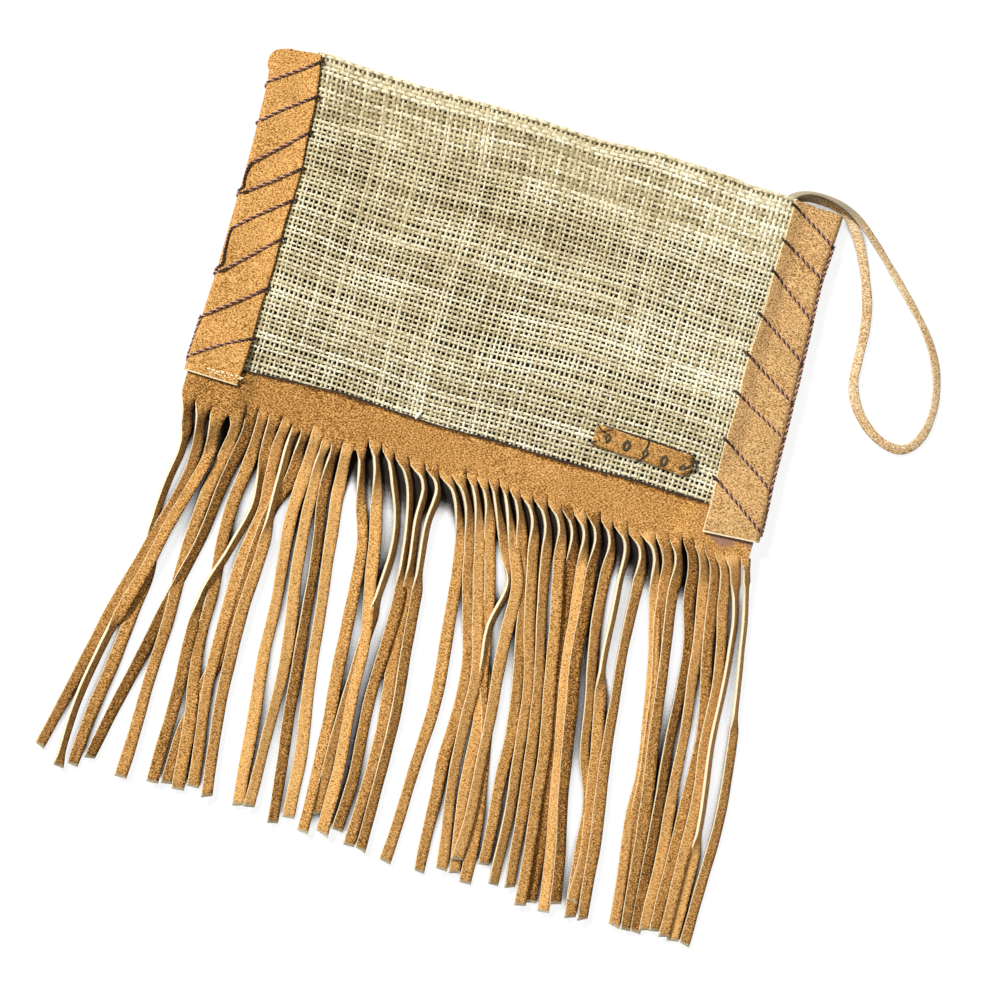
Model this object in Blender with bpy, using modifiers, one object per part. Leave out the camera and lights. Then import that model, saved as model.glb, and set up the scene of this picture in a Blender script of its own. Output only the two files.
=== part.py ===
"""Wristlet clutch: a flat zipped burlap pouch with suede side trims, a suede fringe and a suede wrist loop.

Metres, +Z up out of the clutch's front. It lies on its back on the floor, +X towards the
wrist loop, +Y towards the zipped mouth, and the origin is the middle of the back's rest face.
Each builder below makes one sub-part as an open surface that a Solidify gives its thickness,
or as a cord swept along a route. Lengths inside the builders are millimetres.
"""

import math

import bmesh
import bpy

MM = 0.001
CLEAR = 0.3

# The pouch
HALF_WIDTH = 127.0
TOP = 72.5
BOTTOM = -69.0
BURLAP = 1.0
MOUTH_GAP = 8.0
SHUT_GAP = 0.4
SIDE_RISE = 3.6
SIDE_RISE_FROM = 93.0
SIDE_RISE_TO = 102.0
FULL_HEIGHT_TO = 94.0
BOTTOM_SLOPE = 40.0
HEM_FROM = 54.0
RIB = 0.22
LINING_HALF = 86.0
LINING_TOP = HEM_FROM + 1.5
LINING_FOLD = BOTTOM + 15.0

# Suede
TRIM_THICK = 1.4
TRIM_INNER = 103.0
TRIM_OUTER = 128.6
TRIM_TOP = 73.0
TRIM_BOTTOM = -72.0
OVER_BAND_FROM = -50.0
FRINGE_THICK = 1.3
STRAND_WIDTH = 5.2
STRAP_WIDTH = 4.8
STRAP_THICK = 1.9

# Lacing cord
CORD = 1.25
HOLE = 1.75

# Zip
TOOTH_PITCH = 3.0
ZIP_FROM = -(HALF_WIDTH - 36.0)
ZIP_TO = HALF_WIDTH - 38.0
ZIP_Y = 63.0
ZIP_MID = BURLAP + MOUTH_GAP / 2
TEETH_THICK = 1.5

# Cuts between the fringe's strands along the band, left to right: x and the height of the cut's top
CUTS = [
    (-125, -79), (-118, -80.5), (-110.5, -83), (-103.5, -86), (-97, -78), (-91.5, -77), (-86.5, -79),
    (-80.5, -77), (-75.7, -80), (-71.3, -82), (-66.8, -77), (-61.5, -81), (-57, -84), (-52.5, -79),
    (-47.5, -84), (-42.8, -77), (-36.7, -77), (-31, -78), (-24, -79.5), (-17, -79), (-11, -79.5),
    (-5, -81.5), (1.3, -77), (6, -78.5), (11, -77), (16, -77), (20.5, -77.5), (25.5, -78), (31.5, -79),
    (38, -78), (44.5, -79), (50, -80), (55.6, -79.5), (61.7, -78), (67.5, -80), (74.3, -79),
    (80, -82), (86.5, -77), (93, -80), (98, -78), (102.3, -77), (107, -78), (111.5, -80),
    (115.6, -79), (119.4, -78), (123, -78), (126.8, -79),
]
STATIONS = (-90, -105, -120, -140, -160, -180, -200, -220)
# Each strand's middle at the stations, its tip, the layer it lies in, and where it stands on edge
STRANDS = [
    ((-120, -118, -119.5, -120.5, -117, -118.5, -120.5, -122.5), (-124.5, -249), 0, (-97, -143)),
    ((-113.5, -112, -113.5, -118.5, -122.5, -127.5, -131.5, -135), (-140.5, -245), 1, None),
    ((-107, -106.5, -109.5, -114.8, -118.5, -123, -127, -129.3), (-129.8, -251), 2, (-185, -250)),
    ((-98.5, -100.5, -103, -103.5, -103.5, -103, -103, -103), (-103, -248), 1, None),
    ((-93.5, -95.5, -97.5, -99.5, -103, -107, -110.5, -114), (-118.5, -244), 0, None),
    ((-88.8, -89.5, -90.5, -90, -88, -87, -84.5, -80.8), (-77.6, -246), 1, None),
    ((-83.8, -82.3, -80.8, -85.5, -91, -91.3, -90.3, -89.5), (-89, -246), 2, (-103, -172)),
    ((-79, -78.5, -77.5, -79.5, -79.8, -79.5, -78, -75.2), (-72, -243), 1, None),
    ((-74.2, -73.5, -73, -72.8, -73, -72.5, -71.5, -68.5), (-65, -245), 2, (-84, -128)),
    ((-69.6, -70, -74, -76, -76, -77, -80, -82.8), (-83.5, -245), 0, None),
    ((-64.5, -64.8, -64.6, -62.8, -60.3, -58.8, -56.5, -53.8), (-50.8, -245), 1, None),
    ((-59.7, -59, -58.4, -56, -52, -49.5, -48, -47), (-46.5, -244), 2, None),
    ((-55, -54.3, -52, -48.9, -46, -43.8, -41.5, -38), (-34.8, -248), 1, None),
    ((-49.8, -48.6, -46, -43.4, -40.4, -37.5, -34.5, -31), (-28.6, -244), 0, None),
    ((-41.5, -37.5, -32.8, -30, -27.8, -26.5, -24, -22.5), (-21.3, -248), 1, None),
    ((-34.5, -31, -27, -23, -19.3, -17.5, -15.5, -13.8), (-12.5, -246), 2, None),
    ((-27, -21, -18.6, -18.5, -19, -19.5, -19, -18.5), (-18, -239), 0, (-84, -148)),
    ((-20, -15.8, -13, -10, -10, -9.9, -8.3, -6.9), (-6.8, -243), 1, (-86, -132)),
    ((-13, -11.6, -9.6, -7.5, -5.5, -3, -0.8, 0), (-0.7, -248), 0, (-86, -130)),
    ((-7, -7, -5.5, -3.2, -0.5, 2, 3.5, 4.6), (4.8, -248), 2, (-88, -132)),
    ((1, 7.2, 10, 13, 15.8, 17.3, 17.4, 17.2), (16.5, -250), 1, None),
    ((5.8, 11.5, 15.3, 20.8, 26.3, 28.3, 27.8, 29.8), (32, -250), 0, None),
    ((10.8, 16, 19.5, 25.5, 31.3, 32, 33.8, 36.6), (40.8, -246), 2, None),
    ((15.8, 20.4, 24.6, 29.5, 33.5, 37.8, 39.7, 42.2), (46.5, -246), 1, None),
    ((20, 27, 33.6, 31.3, 34.5, 41.5, 46, 49.5), (52.5, -249), 0, (-114, -158)),
    ((25, 31, 36.8, 38.5, 40, 42.5, 44.5, 46), (46, -240), 2, None),
    ((30, 35, 40, 44.5, 49.5, 52.5, 54, 56.5), (57.5, -239), 1, None),
    ((36, 39.5, 43.5, 48.5, 54, 57.5, 60, 62.5), (64.5, -246), 0, None),
    ((42, 45.5, 49, 53.5, 58.5, 62.5, 65.3, 68.3), (71.5, -245), 1, None),
    ((48.5, 51.5, 54.8, 59.2, 63.8, 67.8, 70.8, 74), (77.5, -251), 2, None),
    ((54, 56.8, 59, 63, 67.8, 71.8, 75, 78.5), (81.8, -249), 0, None),
    ((59.4, 61.6, 63.6, 66.4, 70.5, 74.6, 78.6, 83), (88, -251), 1, None),
    ((64.8, 65.8, 67.5, 70, 74, 77.5, 82, 87), (92, -246), 2, None),
    ((71, 71.8, 73.6, 77.3, 81.4, 85.6, 93.3, 95.5), (100.3, -250), 0, None),
    ((78, 79, 80.5, 82.6, 86, 90.5, 94.5, 98), (99, -243), 1, (-86, -150)),
    ((84.6, 86.5, 87.8, 89.3, 92, 95, 98, 101.5), (105.3, -249), 2, None),
    ((91, 94.5, 98.6, 104, 108.3, 111.3, 112.5, 115.5), (119, -248), 1, None),
    ((95.8, 98.5, 101, 105.5, 109.5, 113, 114.5, 117), (121, -244), 0, None),
    ((100.6, 102.4, 105, 108, 111.5, 115, 118, 121), (124, -248), 2, None),
    ((107, 110, 114.5, 117, 119, 121.2, 123.5, 126), (128.5, -248), 1, None),
    ((112, 115.5, 119, 121.5, 124.3, 126.6, 128.7, 130.8), (132.6, -246), 0, None),
    ((116.6, 120, 123.2, 127.8, 131.6, 133.4, 134.3, 135.3), (136.8, -245), 1, None),
    ((121, 125, 128.6, 132, 134, 137, 138.6, 139.8), (140.6, -246), 2, None),
    ((126, 131.3, 133.4, 135.5, 137.5, 140.3, 143, 144.5), (145, -247), 0, (-93, -205)),
    ((131, 135.7, 138.4, 142, 146, 148.5, 149.8, 150.3), (150.3, -247), 1, (-88, -152)),
]

# Lacing: each leg's hole beside the trim and its far end at the clutch's edge
LEFT_LEGS = [
    ((-100.6, 68), (-128.2, 56.5)), ((-100.6, 56), (-126, 40)), ((-100.6, 41), (-124.8, 21.2)),
    ((-100.6, 25.2), (-124.4, 8)), ((-100.6, 11.4), (-124.9, -8)), ((-100.6, -6.3), (-123.7, -27)),
    ((-100.6, -28), (-126, -47.5)), ((-100.6, -50.6), (-126.9, -66)),
]
RIGHT_LEGS = [
    ((100.6, 68), (123.4, 59.3)), ((100.6, 54.8), (123.6, 44.3)), ((100.6, 41.1), (125, 25.6)),
    ((100.6, 22.3), (126.5, 7.2)), ((100.6, 4.6), (126.8, -10.2)), ((100.6, -12.6), (128, -26)),
    ((100.6, -33.7), (127.9, -48.1)), ((100.6, -50.2), (129.4, -66)),
]

# Wrist loop's middle line on the floor, from the mouth out, round and back
STRAP_ROUTE = [
    (95.6, 57, 7.4), (95.8, 67, 7.4), (98, 75.6, 7.9), (104, 79.7, 8.9), (112.7, 80.4, 9.0),
    (123.4, 79.6, 8.6), (134.9, 74, 7.0), (141.8, 67.6, 4.3), (149, 60, 1.7), (155, 54.9, 1.0),
    (163, 47.7, 1.0), (171.8, 38.6, 1.0), (179.8, 29.1, 1.0), (185.2, 17.5, 1.0), (187.1, 4.8, 1.0),
    (186.1, -7, 1.0), (180.1, -14.2, 1.0), (168.5, -15.4, 1.0), (159.2, -9.3, 1.0), (152.6, 0.1, 1.0),
    (150.5, 9, 1.0), (149.8, 20.1, 1.0), (148.3, 34.7, 1.0), (145.5, 45.5, 1.0), (141, 55, 1.0),
    (138.2, 62.4, 1.2), (136.2, 69.6, 2.0), (132.2, 75.8, 3.3), (125.5, 78.8, 4.5), (116, 79.4, 5.3),
    (108, 79, 5.4), (102.6, 77.2, 5.3), (98.8, 73.4, 5.3), (96.2, 67, 5.2), (96, 57, 5.2),
]

LABEL_MIDDLE = (72.7, -47.2)
LABEL_SIZE = (45.5, 7.2)
LABEL_THICK = 1.2


def clear_scene():
    """Removes whatever the scene starts with."""
    for obj in list(bpy.data.objects):
        bpy.data.objects.remove(obj, do_unlink=True)


def material(name, colour, roughness):
    """Returns a plain Principled material."""
    made = bpy.data.materials.new(name)
    made.use_nodes = True
    shader = made.node_tree.nodes["Principled BSDF"]
    shader.inputs["Base Color"].default_value = (*colour, 1.0)
    shader.inputs["Roughness"].default_value = roughness
    return made


def smooth(value):
    """Returns a soft step from 0 to 1 as value goes from 0 to 1."""
    value = min(max(value, 0.0), 1.0)
    return value * value * (3 - 2 * value)


def back_top(x, y):
    """Returns the height of the back panel's inner face."""
    return BURLAP + SIDE_RISE * smooth((abs(x) - SIDE_RISE_FROM) / (SIDE_RISE_TO - SIDE_RISE_FROM))


def front_under(x, y):
    """Returns the height of the front panel's inner face."""
    sides = smooth((HALF_WIDTH + 0.5 - abs(x)) / (HALF_WIDTH + 0.5 - FULL_HEIGHT_TO))
    end = smooth((y - BOTTOM) / BOTTOM_SLOPE)
    return max(back_top(x, y) + SHUT_GAP, BURLAP + SHUT_GAP + (MOUTH_GAP - SHUT_GAP) * sides * end)


def front_top(x, y):
    """Returns the height that covers the front panel's outer face, ribs and hem included."""
    return front_under(x, y) + BURLAP + RIB + 0.35 * smooth((y - HEM_FROM + 3) / 3)


def from_surface(name, points, faces, thick, offset, look, cutter=None):
    """Makes an object from an open surface and gives it its thickness with a Solidify.

    Args:
        name: the object's name.
        points: corner places in millimetres.
        faces: corner numbers of each face.
        thick: the thickness in millimetres.
        offset: -1, 0 or 1, the side of the surface that the thickness goes to.
        look: the material.
        cutter: an object that cuts holes, if any.
    """
    mesh = bpy.data.meshes.new(name)
    mesh.from_pydata([(x * MM, y * MM, z * MM) for x, y, z in points], [], faces)
    mesh.validate()
    mesh.materials.append(look)
    obj = bpy.data.objects.new(name, mesh)
    bpy.context.scene.collection.objects.link(obj)
    solid = obj.modifiers.new("thickness", "SOLIDIFY")
    solid.thickness = thick * MM
    solid.offset = offset
    solid.use_even_offset = False
    if cutter is not None:
        cut = obj.modifiers.new("holes", "BOOLEAN")
        cut.operation = "DIFFERENCE"
        cut.solver = "EXACT"
        cut.object = cutter
    return obj


def grid_faces(rows, columns, skip=()):
    """Returns the faces of a grid of points stored row by row, without the cells to skip."""
    faces = []
    for row in range(rows - 1):
        for column in range(columns - 1):
            if (row, column) in skip:
                continue
            first = row * columns + column
            faces.append((first, first + 1, first + 1 + columns, first + columns))
    return faces


def span(start, end, count):
    """Returns count evenly spaced values from start to end."""
    return [start + (end - start) * step / (count - 1) for step in range(count)]


def hole_cutters():
    """Makes one hidden mesh of upright pins where the lacing passes through both panels."""
    shape = bmesh.new()
    for hole, _ in LEFT_LEGS + RIGHT_LEGS:
        made = bmesh.ops.create_cone(
            shape, cap_ends=True, segments=12, radius1=HOLE * MM / 2, radius2=HOLE * MM / 2, depth=40 * MM
        )
        bmesh.ops.translate(shape, verts=made["verts"], vec=(hole[0] * MM, hole[1] * MM, 0))
    mesh = bpy.data.meshes.new("lacing_holes")
    shape.to_mesh(mesh)
    shape.free()
    cutter = bpy.data.objects.new("lacing_holes", mesh)
    cutter.hide_render = True
    cutter.display_type = "WIRE"
    helpers = bpy.data.collections.new("helpers")
    bpy.context.scene.collection.children.link(helpers)
    helpers.objects.link(cutter)
    return cutter


def front_panel(look, cutter):
    """Makes the front's burlap: ribbed both ways, with a thicker hem at the mouth and open gaps."""
    xs = span(-HALF_WIDTH, HALF_WIDTH, 54)
    ys = span(BOTTOM, TOP, 44)
    points = []
    for row, y in enumerate(ys):
        for column, x in enumerate(xs):
            rib = RIB * ((row % 2) + (column % 2)) / 2
            hem = 0.35 * smooth((y - HEM_FROM) / 2.5)
            points.append((x, y, front_under(x, y) + rib + hem))
    skip = set()
    for row in range(6, 36, 3):
        for column in range(7 + row // 3 % 2 * 2, 46, 4):
            label_near = abs(xs[column] - LABEL_MIDDLE[0]) < 29 and abs(ys[row] - LABEL_MIDDLE[1]) < 9
            if not label_near:
                skip.add((row, column))
    return from_surface("front_panel", points, grid_faces(len(ys), len(xs), skip), BURLAP, 1, look, cutter)


def back_panel(look, cutter):
    """Makes the back's burlap, whose flat middle the clutch rests on."""
    rise = [SIDE_RISE_TO + 3, SIDE_RISE_TO, SIDE_RISE_TO - 3]
    rise += [SIDE_RISE_FROM + 4, SIDE_RISE_FROM + 2, SIDE_RISE_FROM]
    xs = [HALF_WIDTH, HALF_WIDTH - 8, HALF_WIDTH - 16] + rise + [HALF_WIDTH / 2, HALF_WIDTH / 4]
    xs = [-x for x in xs] + [0] + list(reversed(xs))
    ys = span(BOTTOM, TOP, 9)
    points = [(x, y, back_top(x, y)) for y in ys for x in xs]
    return from_surface("back_panel", points, grid_faces(len(ys), len(xs)), BURLAP, -1, look, cutter)


def lining(look):
    """Makes the dark cotton lining, folded at the pouch's foot, with its two walls near the panels."""
    fold_y = LINING_FOLD
    xs = span(-LINING_HALF, LINING_HALF, 21)
    points = []
    lower = [LINING_TOP, 30, 0, -25, fold_y + 14, fold_y + 6, fold_y]
    upper = list(reversed(lower))
    for y in lower:
        points += [(x, y, back_top(x, y) + CLEAR + 0.5) for x in xs]
    points += [(x, fold_y - 1.6, (back_top(x, fold_y) + front_under(x, fold_y)) / 2) for x in xs]
    for y in upper:
        points += [(x, y, front_under(x, y) - CLEAR - 0.5) for x in xs]
    return from_surface("lining", points, grid_faces(15, len(xs)), 0.5, 0, look)


def trim_height(x, y, front):
    """Returns the height of a trim's inner face over the panels, on the front or on the back."""
    if not front:
        return back_top(x, y) - BURLAP - CLEAR
    over_band = (FRINGE_THICK + 2 * CLEAR + 0.6) * smooth((OVER_BAND_FROM - y) / 8)
    return front_top(x, y) + CLEAR + over_band


def side_trim(name, side, look):
    """Makes one suede strip folded over a side edge of the pouch.

    Args:
        name: the object's name.
        side: -1 for the left edge and 1 for the right one.
        look: the material.
    """
    ys = span(TRIM_BOTTOM, TRIM_TOP, 31)
    across = span(TRIM_INNER, HALF_WIDTH - 0.2, 10)
    points = []
    for y in ys:
        upper = [(x, trim_height(x, y, True)) for x in across]
        lower = [(x, trim_height(x, y, False)) for x in reversed(across)]
        top_z = upper[-1][1]
        low_z = lower[0][1]
        middle = (top_z + low_z) / 2
        half = (top_z - low_z) / 2
        bend = []
        for step in range(1, 8):
            turn = math.pi * step / 8
            bend.append((HALF_WIDTH + 0.2 + 1.6 * math.sin(turn), middle + half * math.cos(turn)))
        for x, z in upper + bend + lower:
            points.append((side * x, y, z))
    faces = grid_faces(len(ys), 27)
    if side > 0:
        faces = [tuple(reversed(face)) for face in faces]
    return from_surface(name, points, faces, TRIM_THICK, -1, look)


def strand_lift(layer, y):
    """Returns the height of a strand's middle as it drops from the band to the layer it lies in."""
    rest = FRINGE_THICK / 2 + 0.05 + layer * (FRINGE_THICK + CLEAR)
    band = BURLAP * 2 + SHUT_GAP + RIB + CLEAR + FRINGE_THICK / 2
    return rest + (band - rest) * smooth((y + 102) / 22)


def strand_rows(number):
    """Returns a strand's rows down its length: middle x, y, half width, roll and layer."""
    middles, tip, layer, edge = STRANDS[number]
    rows = []
    stations = list(zip(STATIONS, middles)) + [(tip[1], tip[0])]
    for step, (y, x) in enumerate(stations):
        if step:
            before_y, before_x = stations[step - 1]
            rows.append(((before_x + x) / 2, (before_y + y) / 2))
        rows.append((x, y))
    shaped = []
    for x, y in rows:
        roll = 0.0
        if edge is not None:
            inside = smooth((edge[0] + 8 - y) / 10) * smooth((y - edge[1] + 8) / 10)
            roll = 1.05 * inside
        early = 0.55 if 14 <= number <= 36 else 0.25
        roll = max(roll, early * smooth((y + 112) / 16))
        shaped.append((x, y, roll))
    return shaped, layer


def fringe(look):
    """Makes the fringe: one suede sheet, a band across the front's foot cut into strands below it."""
    columns = []
    for number in range(len(STRANDS)):
        left = CUTS[number]
        right = CUTS[number + 1]
        columns += [left, ((left[0] + right[0]) / 2, (left[1] + right[1]) / 2)]
    columns.append(CUTS[-1])
    points = []
    band_rows = (-63.5, -66.5, -69.2, -73.2)
    for y in band_rows:
        for x, _ in columns:
            points.append((x, y, band_height(x, y)))
    for x, y in columns:
        points.append((x, y, band_height(x, y)))
    faces = grid_faces(len(band_rows) + 1, len(columns))
    foot = len(band_rows) * len(columns)
    for number in range(len(STRANDS)):
        above = [foot + 2 * number, foot + 2 * number + 1, foot + 2 * number + 2]
        rows, layer = strand_rows(number)
        for x, y, roll in rows:
            half = STRAND_WIDTH / 2
            if y > -96:
                half = min(half, (CUTS[number + 1][0] - CUTS[number][0]) / 2 - 0.25)
            lean = half * math.sin(roll)
            z = strand_lift(layer, y) + max(0.0, lean - 0.25 * layer)
            here = len(points)
            points += [
                (x - half * math.cos(roll), y, z - lean),
                (x, y, z),
                (x + half * math.cos(roll), y, z + lean),
            ]
            below = [here, here + 1, here + 2]
            faces += [
                (above[0], above[1], below[1], below[0]),
                (above[1], above[2], below[2], below[1]),
            ]
            above = below
    return from_surface("fringe", points, faces, FRINGE_THICK, 0, look)


def band_height(x, y):
    """Returns the height of the band's middle: over the front panel, and level once past its foot."""
    edge = max(y, BOTTOM + 0.5)
    return front_top(min(max(x, 1 - HALF_WIDTH), HALF_WIDTH - 1), edge) + CLEAR + 0.35 + FRINGE_THICK / 2


def cord(name, route, width, look, closed_ends=True):
    """Makes a round cord along a route in millimetres."""
    curve = bpy.data.curves.new(name, "CURVE")
    curve.dimensions = "3D"
    curve.bevel_depth = width * MM / 2
    curve.bevel_resolution = 1
    curve.use_fill_caps = closed_ends
    spline = curve.splines.new("POLY")
    spline.points.add(len(route) - 1)
    for point, (x, y, z) in zip(spline.points, route):
        point.co = (x * MM, y * MM, z * MM, 1)
    curve.materials.append(look)
    obj = bpy.data.objects.new(name, curve)
    bpy.context.scene.collection.objects.link(obj)
    return obj


def lacing(name, side, legs, look):
    """Makes one side's lacing: a cord that whips round the trim through a hole at each leg.

    Args:
        name: the object's name.
        side: -1 for the left edge and 1 for the right one.
        legs: each leg's hole and far end.
        look: the material.
    """
    radius = CORD / 2
    away = TRIM_THICK + radius + 0.5
    route = []
    for number, (hole, end) in enumerate(legs):
        hole_x = abs(hole[0])
        over = trim_height(TRIM_INNER + 1, hole[1], True) + away
        route.append((hole_x, hole[1], back_top(hole_x, hole[1]) - BURLAP - radius - 0.35))
        route.append((hole_x, hole[1], over - 0.6))
        route.append((TRIM_INNER, hole[1] - 1.0, over + 0.3))
        end_x = HALF_WIDTH + 0.2
        for part in (0.15, 0.35, 0.55, 0.75, 1.0):
            x = TRIM_INNER + (end_x - TRIM_INNER) * part
            y = hole[1] - 1 + (end[1] - hole[1] + 1) * part
            route.append((x, y, trim_height(min(x, HALF_WIDTH - 0.2), y, True) + away + 0.1))
        y = end[1]
        high = trim_height(HALF_WIDTH - 0.2, y, True)
        low = trim_height(HALF_WIDTH - 0.2, y, False)
        for step in (1, 2, 3, 4, 5, 6):
            turn = math.pi * step / 6
            x = end_x + (1.6 + away) * math.sin(turn)
            z = (high + low) / 2 + ((high - low) / 2 + away) * math.cos(turn)
            y -= 0.5
            route.append((x, y, z))
            if number + 1 == len(legs) and step == 3:
                break
        if number + 1 < len(legs):
            after = legs[number + 1][0]
            for part in (0.5, 1.0):
                x = end_x + (TRIM_INNER - end_x) * part
                back_y = y + (after[1] - y) * part
                route.append((x, back_y, trim_height(x, back_y, False) - away + 0.15))
    return cord(name, [(side * x, y, z) for x, y, z in route], CORD, look)


def ribbon(name, route, width, thick, look):
    """Makes a flat lace along a route, with its width across the route and level."""
    points = []
    for step, (x, y, z) in enumerate(route):
        ahead = route[min(step + 1, len(route) - 1)]
        behind = route[max(step - 1, 0)]
        along_x = ahead[0] - behind[0]
        along_y = ahead[1] - behind[1]
        length = math.hypot(along_x, along_y)
        side_x = along_y / length * width / 2
        side_y = -along_x / length * width / 2
        points += [(x - side_x, y - side_y, z), (x, y, z), (x + side_x, y + side_y, z)]
    return from_surface(name, points, grid_faces(len(route), 3), thick, 0, look)


def on_front(name, middle, size, thick, look, steps=(13, 4)):
    """Makes a patch that lies on the front panel."""
    xs = span(middle[0] - size[0] / 2, middle[0] + size[0] / 2, steps[0])
    ys = span(middle[1] - size[1] / 2, middle[1] + size[1] / 2, steps[1])
    points = [(x, y, front_top(x, y) + CLEAR) for y in ys for x in xs]
    return from_surface(name, points, grid_faces(len(ys), len(xs)), thick, 1, look)


def tack(name, places, look):
    """Makes one short thread stitch that crosses the label's edge."""
    route = []
    for x, y, lift in places:
        route.append((x, y, front_top(x, y) + CLEAR + lift))
    return cord(name, route, 0.9, look)


def extruded(name, outline, low, high, axis, look):
    """Makes a block from an outline, or from an outline and its window, raised along an axis.

    Args:
        name: the object's name.
        outline: the corners as pairs of millimetres.
        low: the near end along the axis.
        high: the far end along the axis.
        axis: "Y" for pairs of x and z, "Z" for pairs of x and y.
        look: the material.
    """
    shape = bmesh.new()
    corners = []
    for first, second in outline:
        place = (first, low, second) if axis == "Y" else (first, second, low)
        corners.append(shape.verts.new([value * MM for value in place]))
    face = shape.faces.new(corners)
    made = bmesh.ops.extrude_face_region(shape, geom=[face])
    rise = (0, (high - low) * MM, 0) if axis == "Y" else (0, 0, (high - low) * MM)
    moved = [item for item in made["geom"] if isinstance(item, bmesh.types.BMVert)]
    bmesh.ops.translate(shape, verts=moved, vec=rise)
    bmesh.ops.recalc_face_normals(shape, faces=shape.faces)
    mesh = bpy.data.meshes.new(name)
    shape.to_mesh(mesh)
    shape.free()
    mesh.materials.append(look)
    obj = bpy.data.objects.new(name, mesh)
    bpy.context.scene.collection.objects.link(obj)
    return obj


def zip_tape(name, front, look):
    """Makes one tape: a flange against a panel's inside and a web that reaches in to the teeth."""
    if front:
        heights = [ZIP_MID + MOUTH_GAP / 2 - CLEAR] * 2 + [ZIP_MID + MOUTH_GAP / 2 - 0.75, ZIP_MID + 2.6]
    else:
        heights = [ZIP_MID - MOUTH_GAP / 2 + CLEAR] * 2 + [ZIP_MID - MOUTH_GAP / 2 + 0.75, ZIP_MID - 2.6]
    depths = [TOP - 2.0, ZIP_Y + 1.2, ZIP_Y, ZIP_Y]
    xs = span(ZIP_FROM - 1, ZIP_TO + 1, 25)
    points = []
    for depth, height in zip(depths, heights):
        for x in xs:
            if abs(x) > 84 and not front and depth > ZIP_Y + 1:
                height = max(height, back_top(x, depth) + CLEAR + 0.3)
            points.append((x, depth, height))
    return from_surface(name, points, grid_faces(4, len(xs)), 0.5, 0, look)


def zip_teeth(name, front, look):
    """Makes one row of teeth as a comb, whose tips stop just short of the middle."""
    side = 1 if front else -1
    shift = 0.0 if front else TOOTH_PITCH / 2
    root = 2.25
    outline = [(ZIP_FROM, root), (ZIP_FROM, 1.35)]
    x = ZIP_FROM + 0.6 + shift
    while x + 2.0 < ZIP_TO:
        outline += [(x, 1.35), (x + 0.15, 0.5), (x + 1.35, 0.5), (x + 1.5, 1.35)]
        x += TOOTH_PITCH
    outline += [(ZIP_TO, 1.35), (ZIP_TO, root)]
    placed = [(px, ZIP_MID + side * pz) for px, pz in outline]
    half = TEETH_THICK / 2
    return extruded(name, placed, ZIP_Y - half, ZIP_Y + half, "Y", look)


def zip_slider(look):
    """Makes the slider: two plates joined by a thin bridge, with an arch on the upper plate."""
    at_x = ZIP_TO - 9
    plate = TEETH_THICK / 2 + CLEAR
    profile = [
        (-3.0, -plate - 0.8), (3.0, -plate - 0.8), (3.0, -plate), (0.2, -plate), (0.2, plate),
        (3.0, plate), (3.0, plate + 0.8), (-3.0, plate + 0.8), (-3.0, plate), (-0.2, plate),
        (-0.2, -plate), (-3.0, -plate),
    ]
    shape = bmesh.new()
    low = []
    high = []
    for z, y in profile:
        low.append(shape.verts.new(((at_x - 5) * MM, (ZIP_Y + y) * MM, (ZIP_MID + z) * MM)))
        high.append(shape.verts.new(((at_x + 5) * MM, (ZIP_Y + y) * MM, (ZIP_MID + z) * MM)))
    shape.faces.new(low)
    shape.faces.new(list(reversed(high)))
    for step in range(len(profile)):
        after = (step + 1) % len(profile)
        shape.faces.new((low[step], high[step], high[after], low[after]))
    bmesh.ops.recalc_face_normals(shape, faces=shape.faces)
    mesh = bpy.data.meshes.new("zip_slider")
    shape.to_mesh(mesh)
    shape.free()
    mesh.materials.append(look)
    slider = bpy.data.objects.new("zip_slider", mesh)
    bpy.context.scene.collection.objects.link(slider)
    base = ZIP_Y + plate + 0.8
    outline = [
        (at_x - 1.7, base - 0.4), (at_x - 1.0, base - 0.4), (at_x - 1.0, base + 1.7),
        (at_x + 1.0, base + 1.7), (at_x + 1.0, base - 0.4), (at_x + 1.7, base - 0.4),
        (at_x + 1.7, base + 2.4), (at_x - 1.7, base + 2.4),
    ]
    arch = extruded("slider_arch", outline, ZIP_MID - 0.8, ZIP_MID + 0.8, "Z", look)
    arch.hide_render = True
    arch.display_type = "WIRE"
    bpy.context.scene.collection.objects.unlink(arch)
    bpy.data.collections["helpers"].objects.link(arch)
    joined = slider.modifiers.new("arch", "BOOLEAN")
    joined.operation = "UNION"
    joined.solver = "EXACT"
    joined.object = arch
    return base, at_x


def zip_pull(base, at_x, look):
    """Makes the pull: a flat tab whose window's end bar is held under the slider's arch."""
    outer = [(0.45, -2.0), (0.45, 2.0), (-15.5, 2.0), (-17.5, 1.0), (-17.5, -1.0), (-15.5, -2.0)]
    window = [(-0.45, -1.15), (-0.45, 1.15), (-3.8, 1.15), (-3.8, -1.15)]
    pull = extruded(
        "zip_pull", [(at_x + x, ZIP_MID + z) for x, z in outer], base + 0.45, base + 1.35, "Y", look
    )
    hole = extruded(
        "pull_window", [(at_x + x, ZIP_MID + z) for x, z in window], base - 1, base + 3, "Y", look
    )
    hole.hide_render = True
    hole.display_type = "WIRE"
    bpy.context.scene.collection.objects.unlink(hole)
    bpy.data.collections["helpers"].objects.link(hole)
    cut = pull.modifiers.new("window", "BOOLEAN")
    cut.operation = "DIFFERENCE"
    cut.solver = "EXACT"
    cut.object = hole


def zip_stop(name, x, look):
    """Makes one end stop that clamps both tapes beyond the teeth."""
    z_low = ZIP_MID - 2.2
    z_high = ZIP_MID + 2.2
    outline = [(x - 0.8, z_low), (x + 0.8, z_low), (x + 0.8, z_high), (x - 0.8, z_high)]
    return extruded(name, outline, ZIP_Y - 0.7, ZIP_Y + 0.7, "Y", look)


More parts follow.
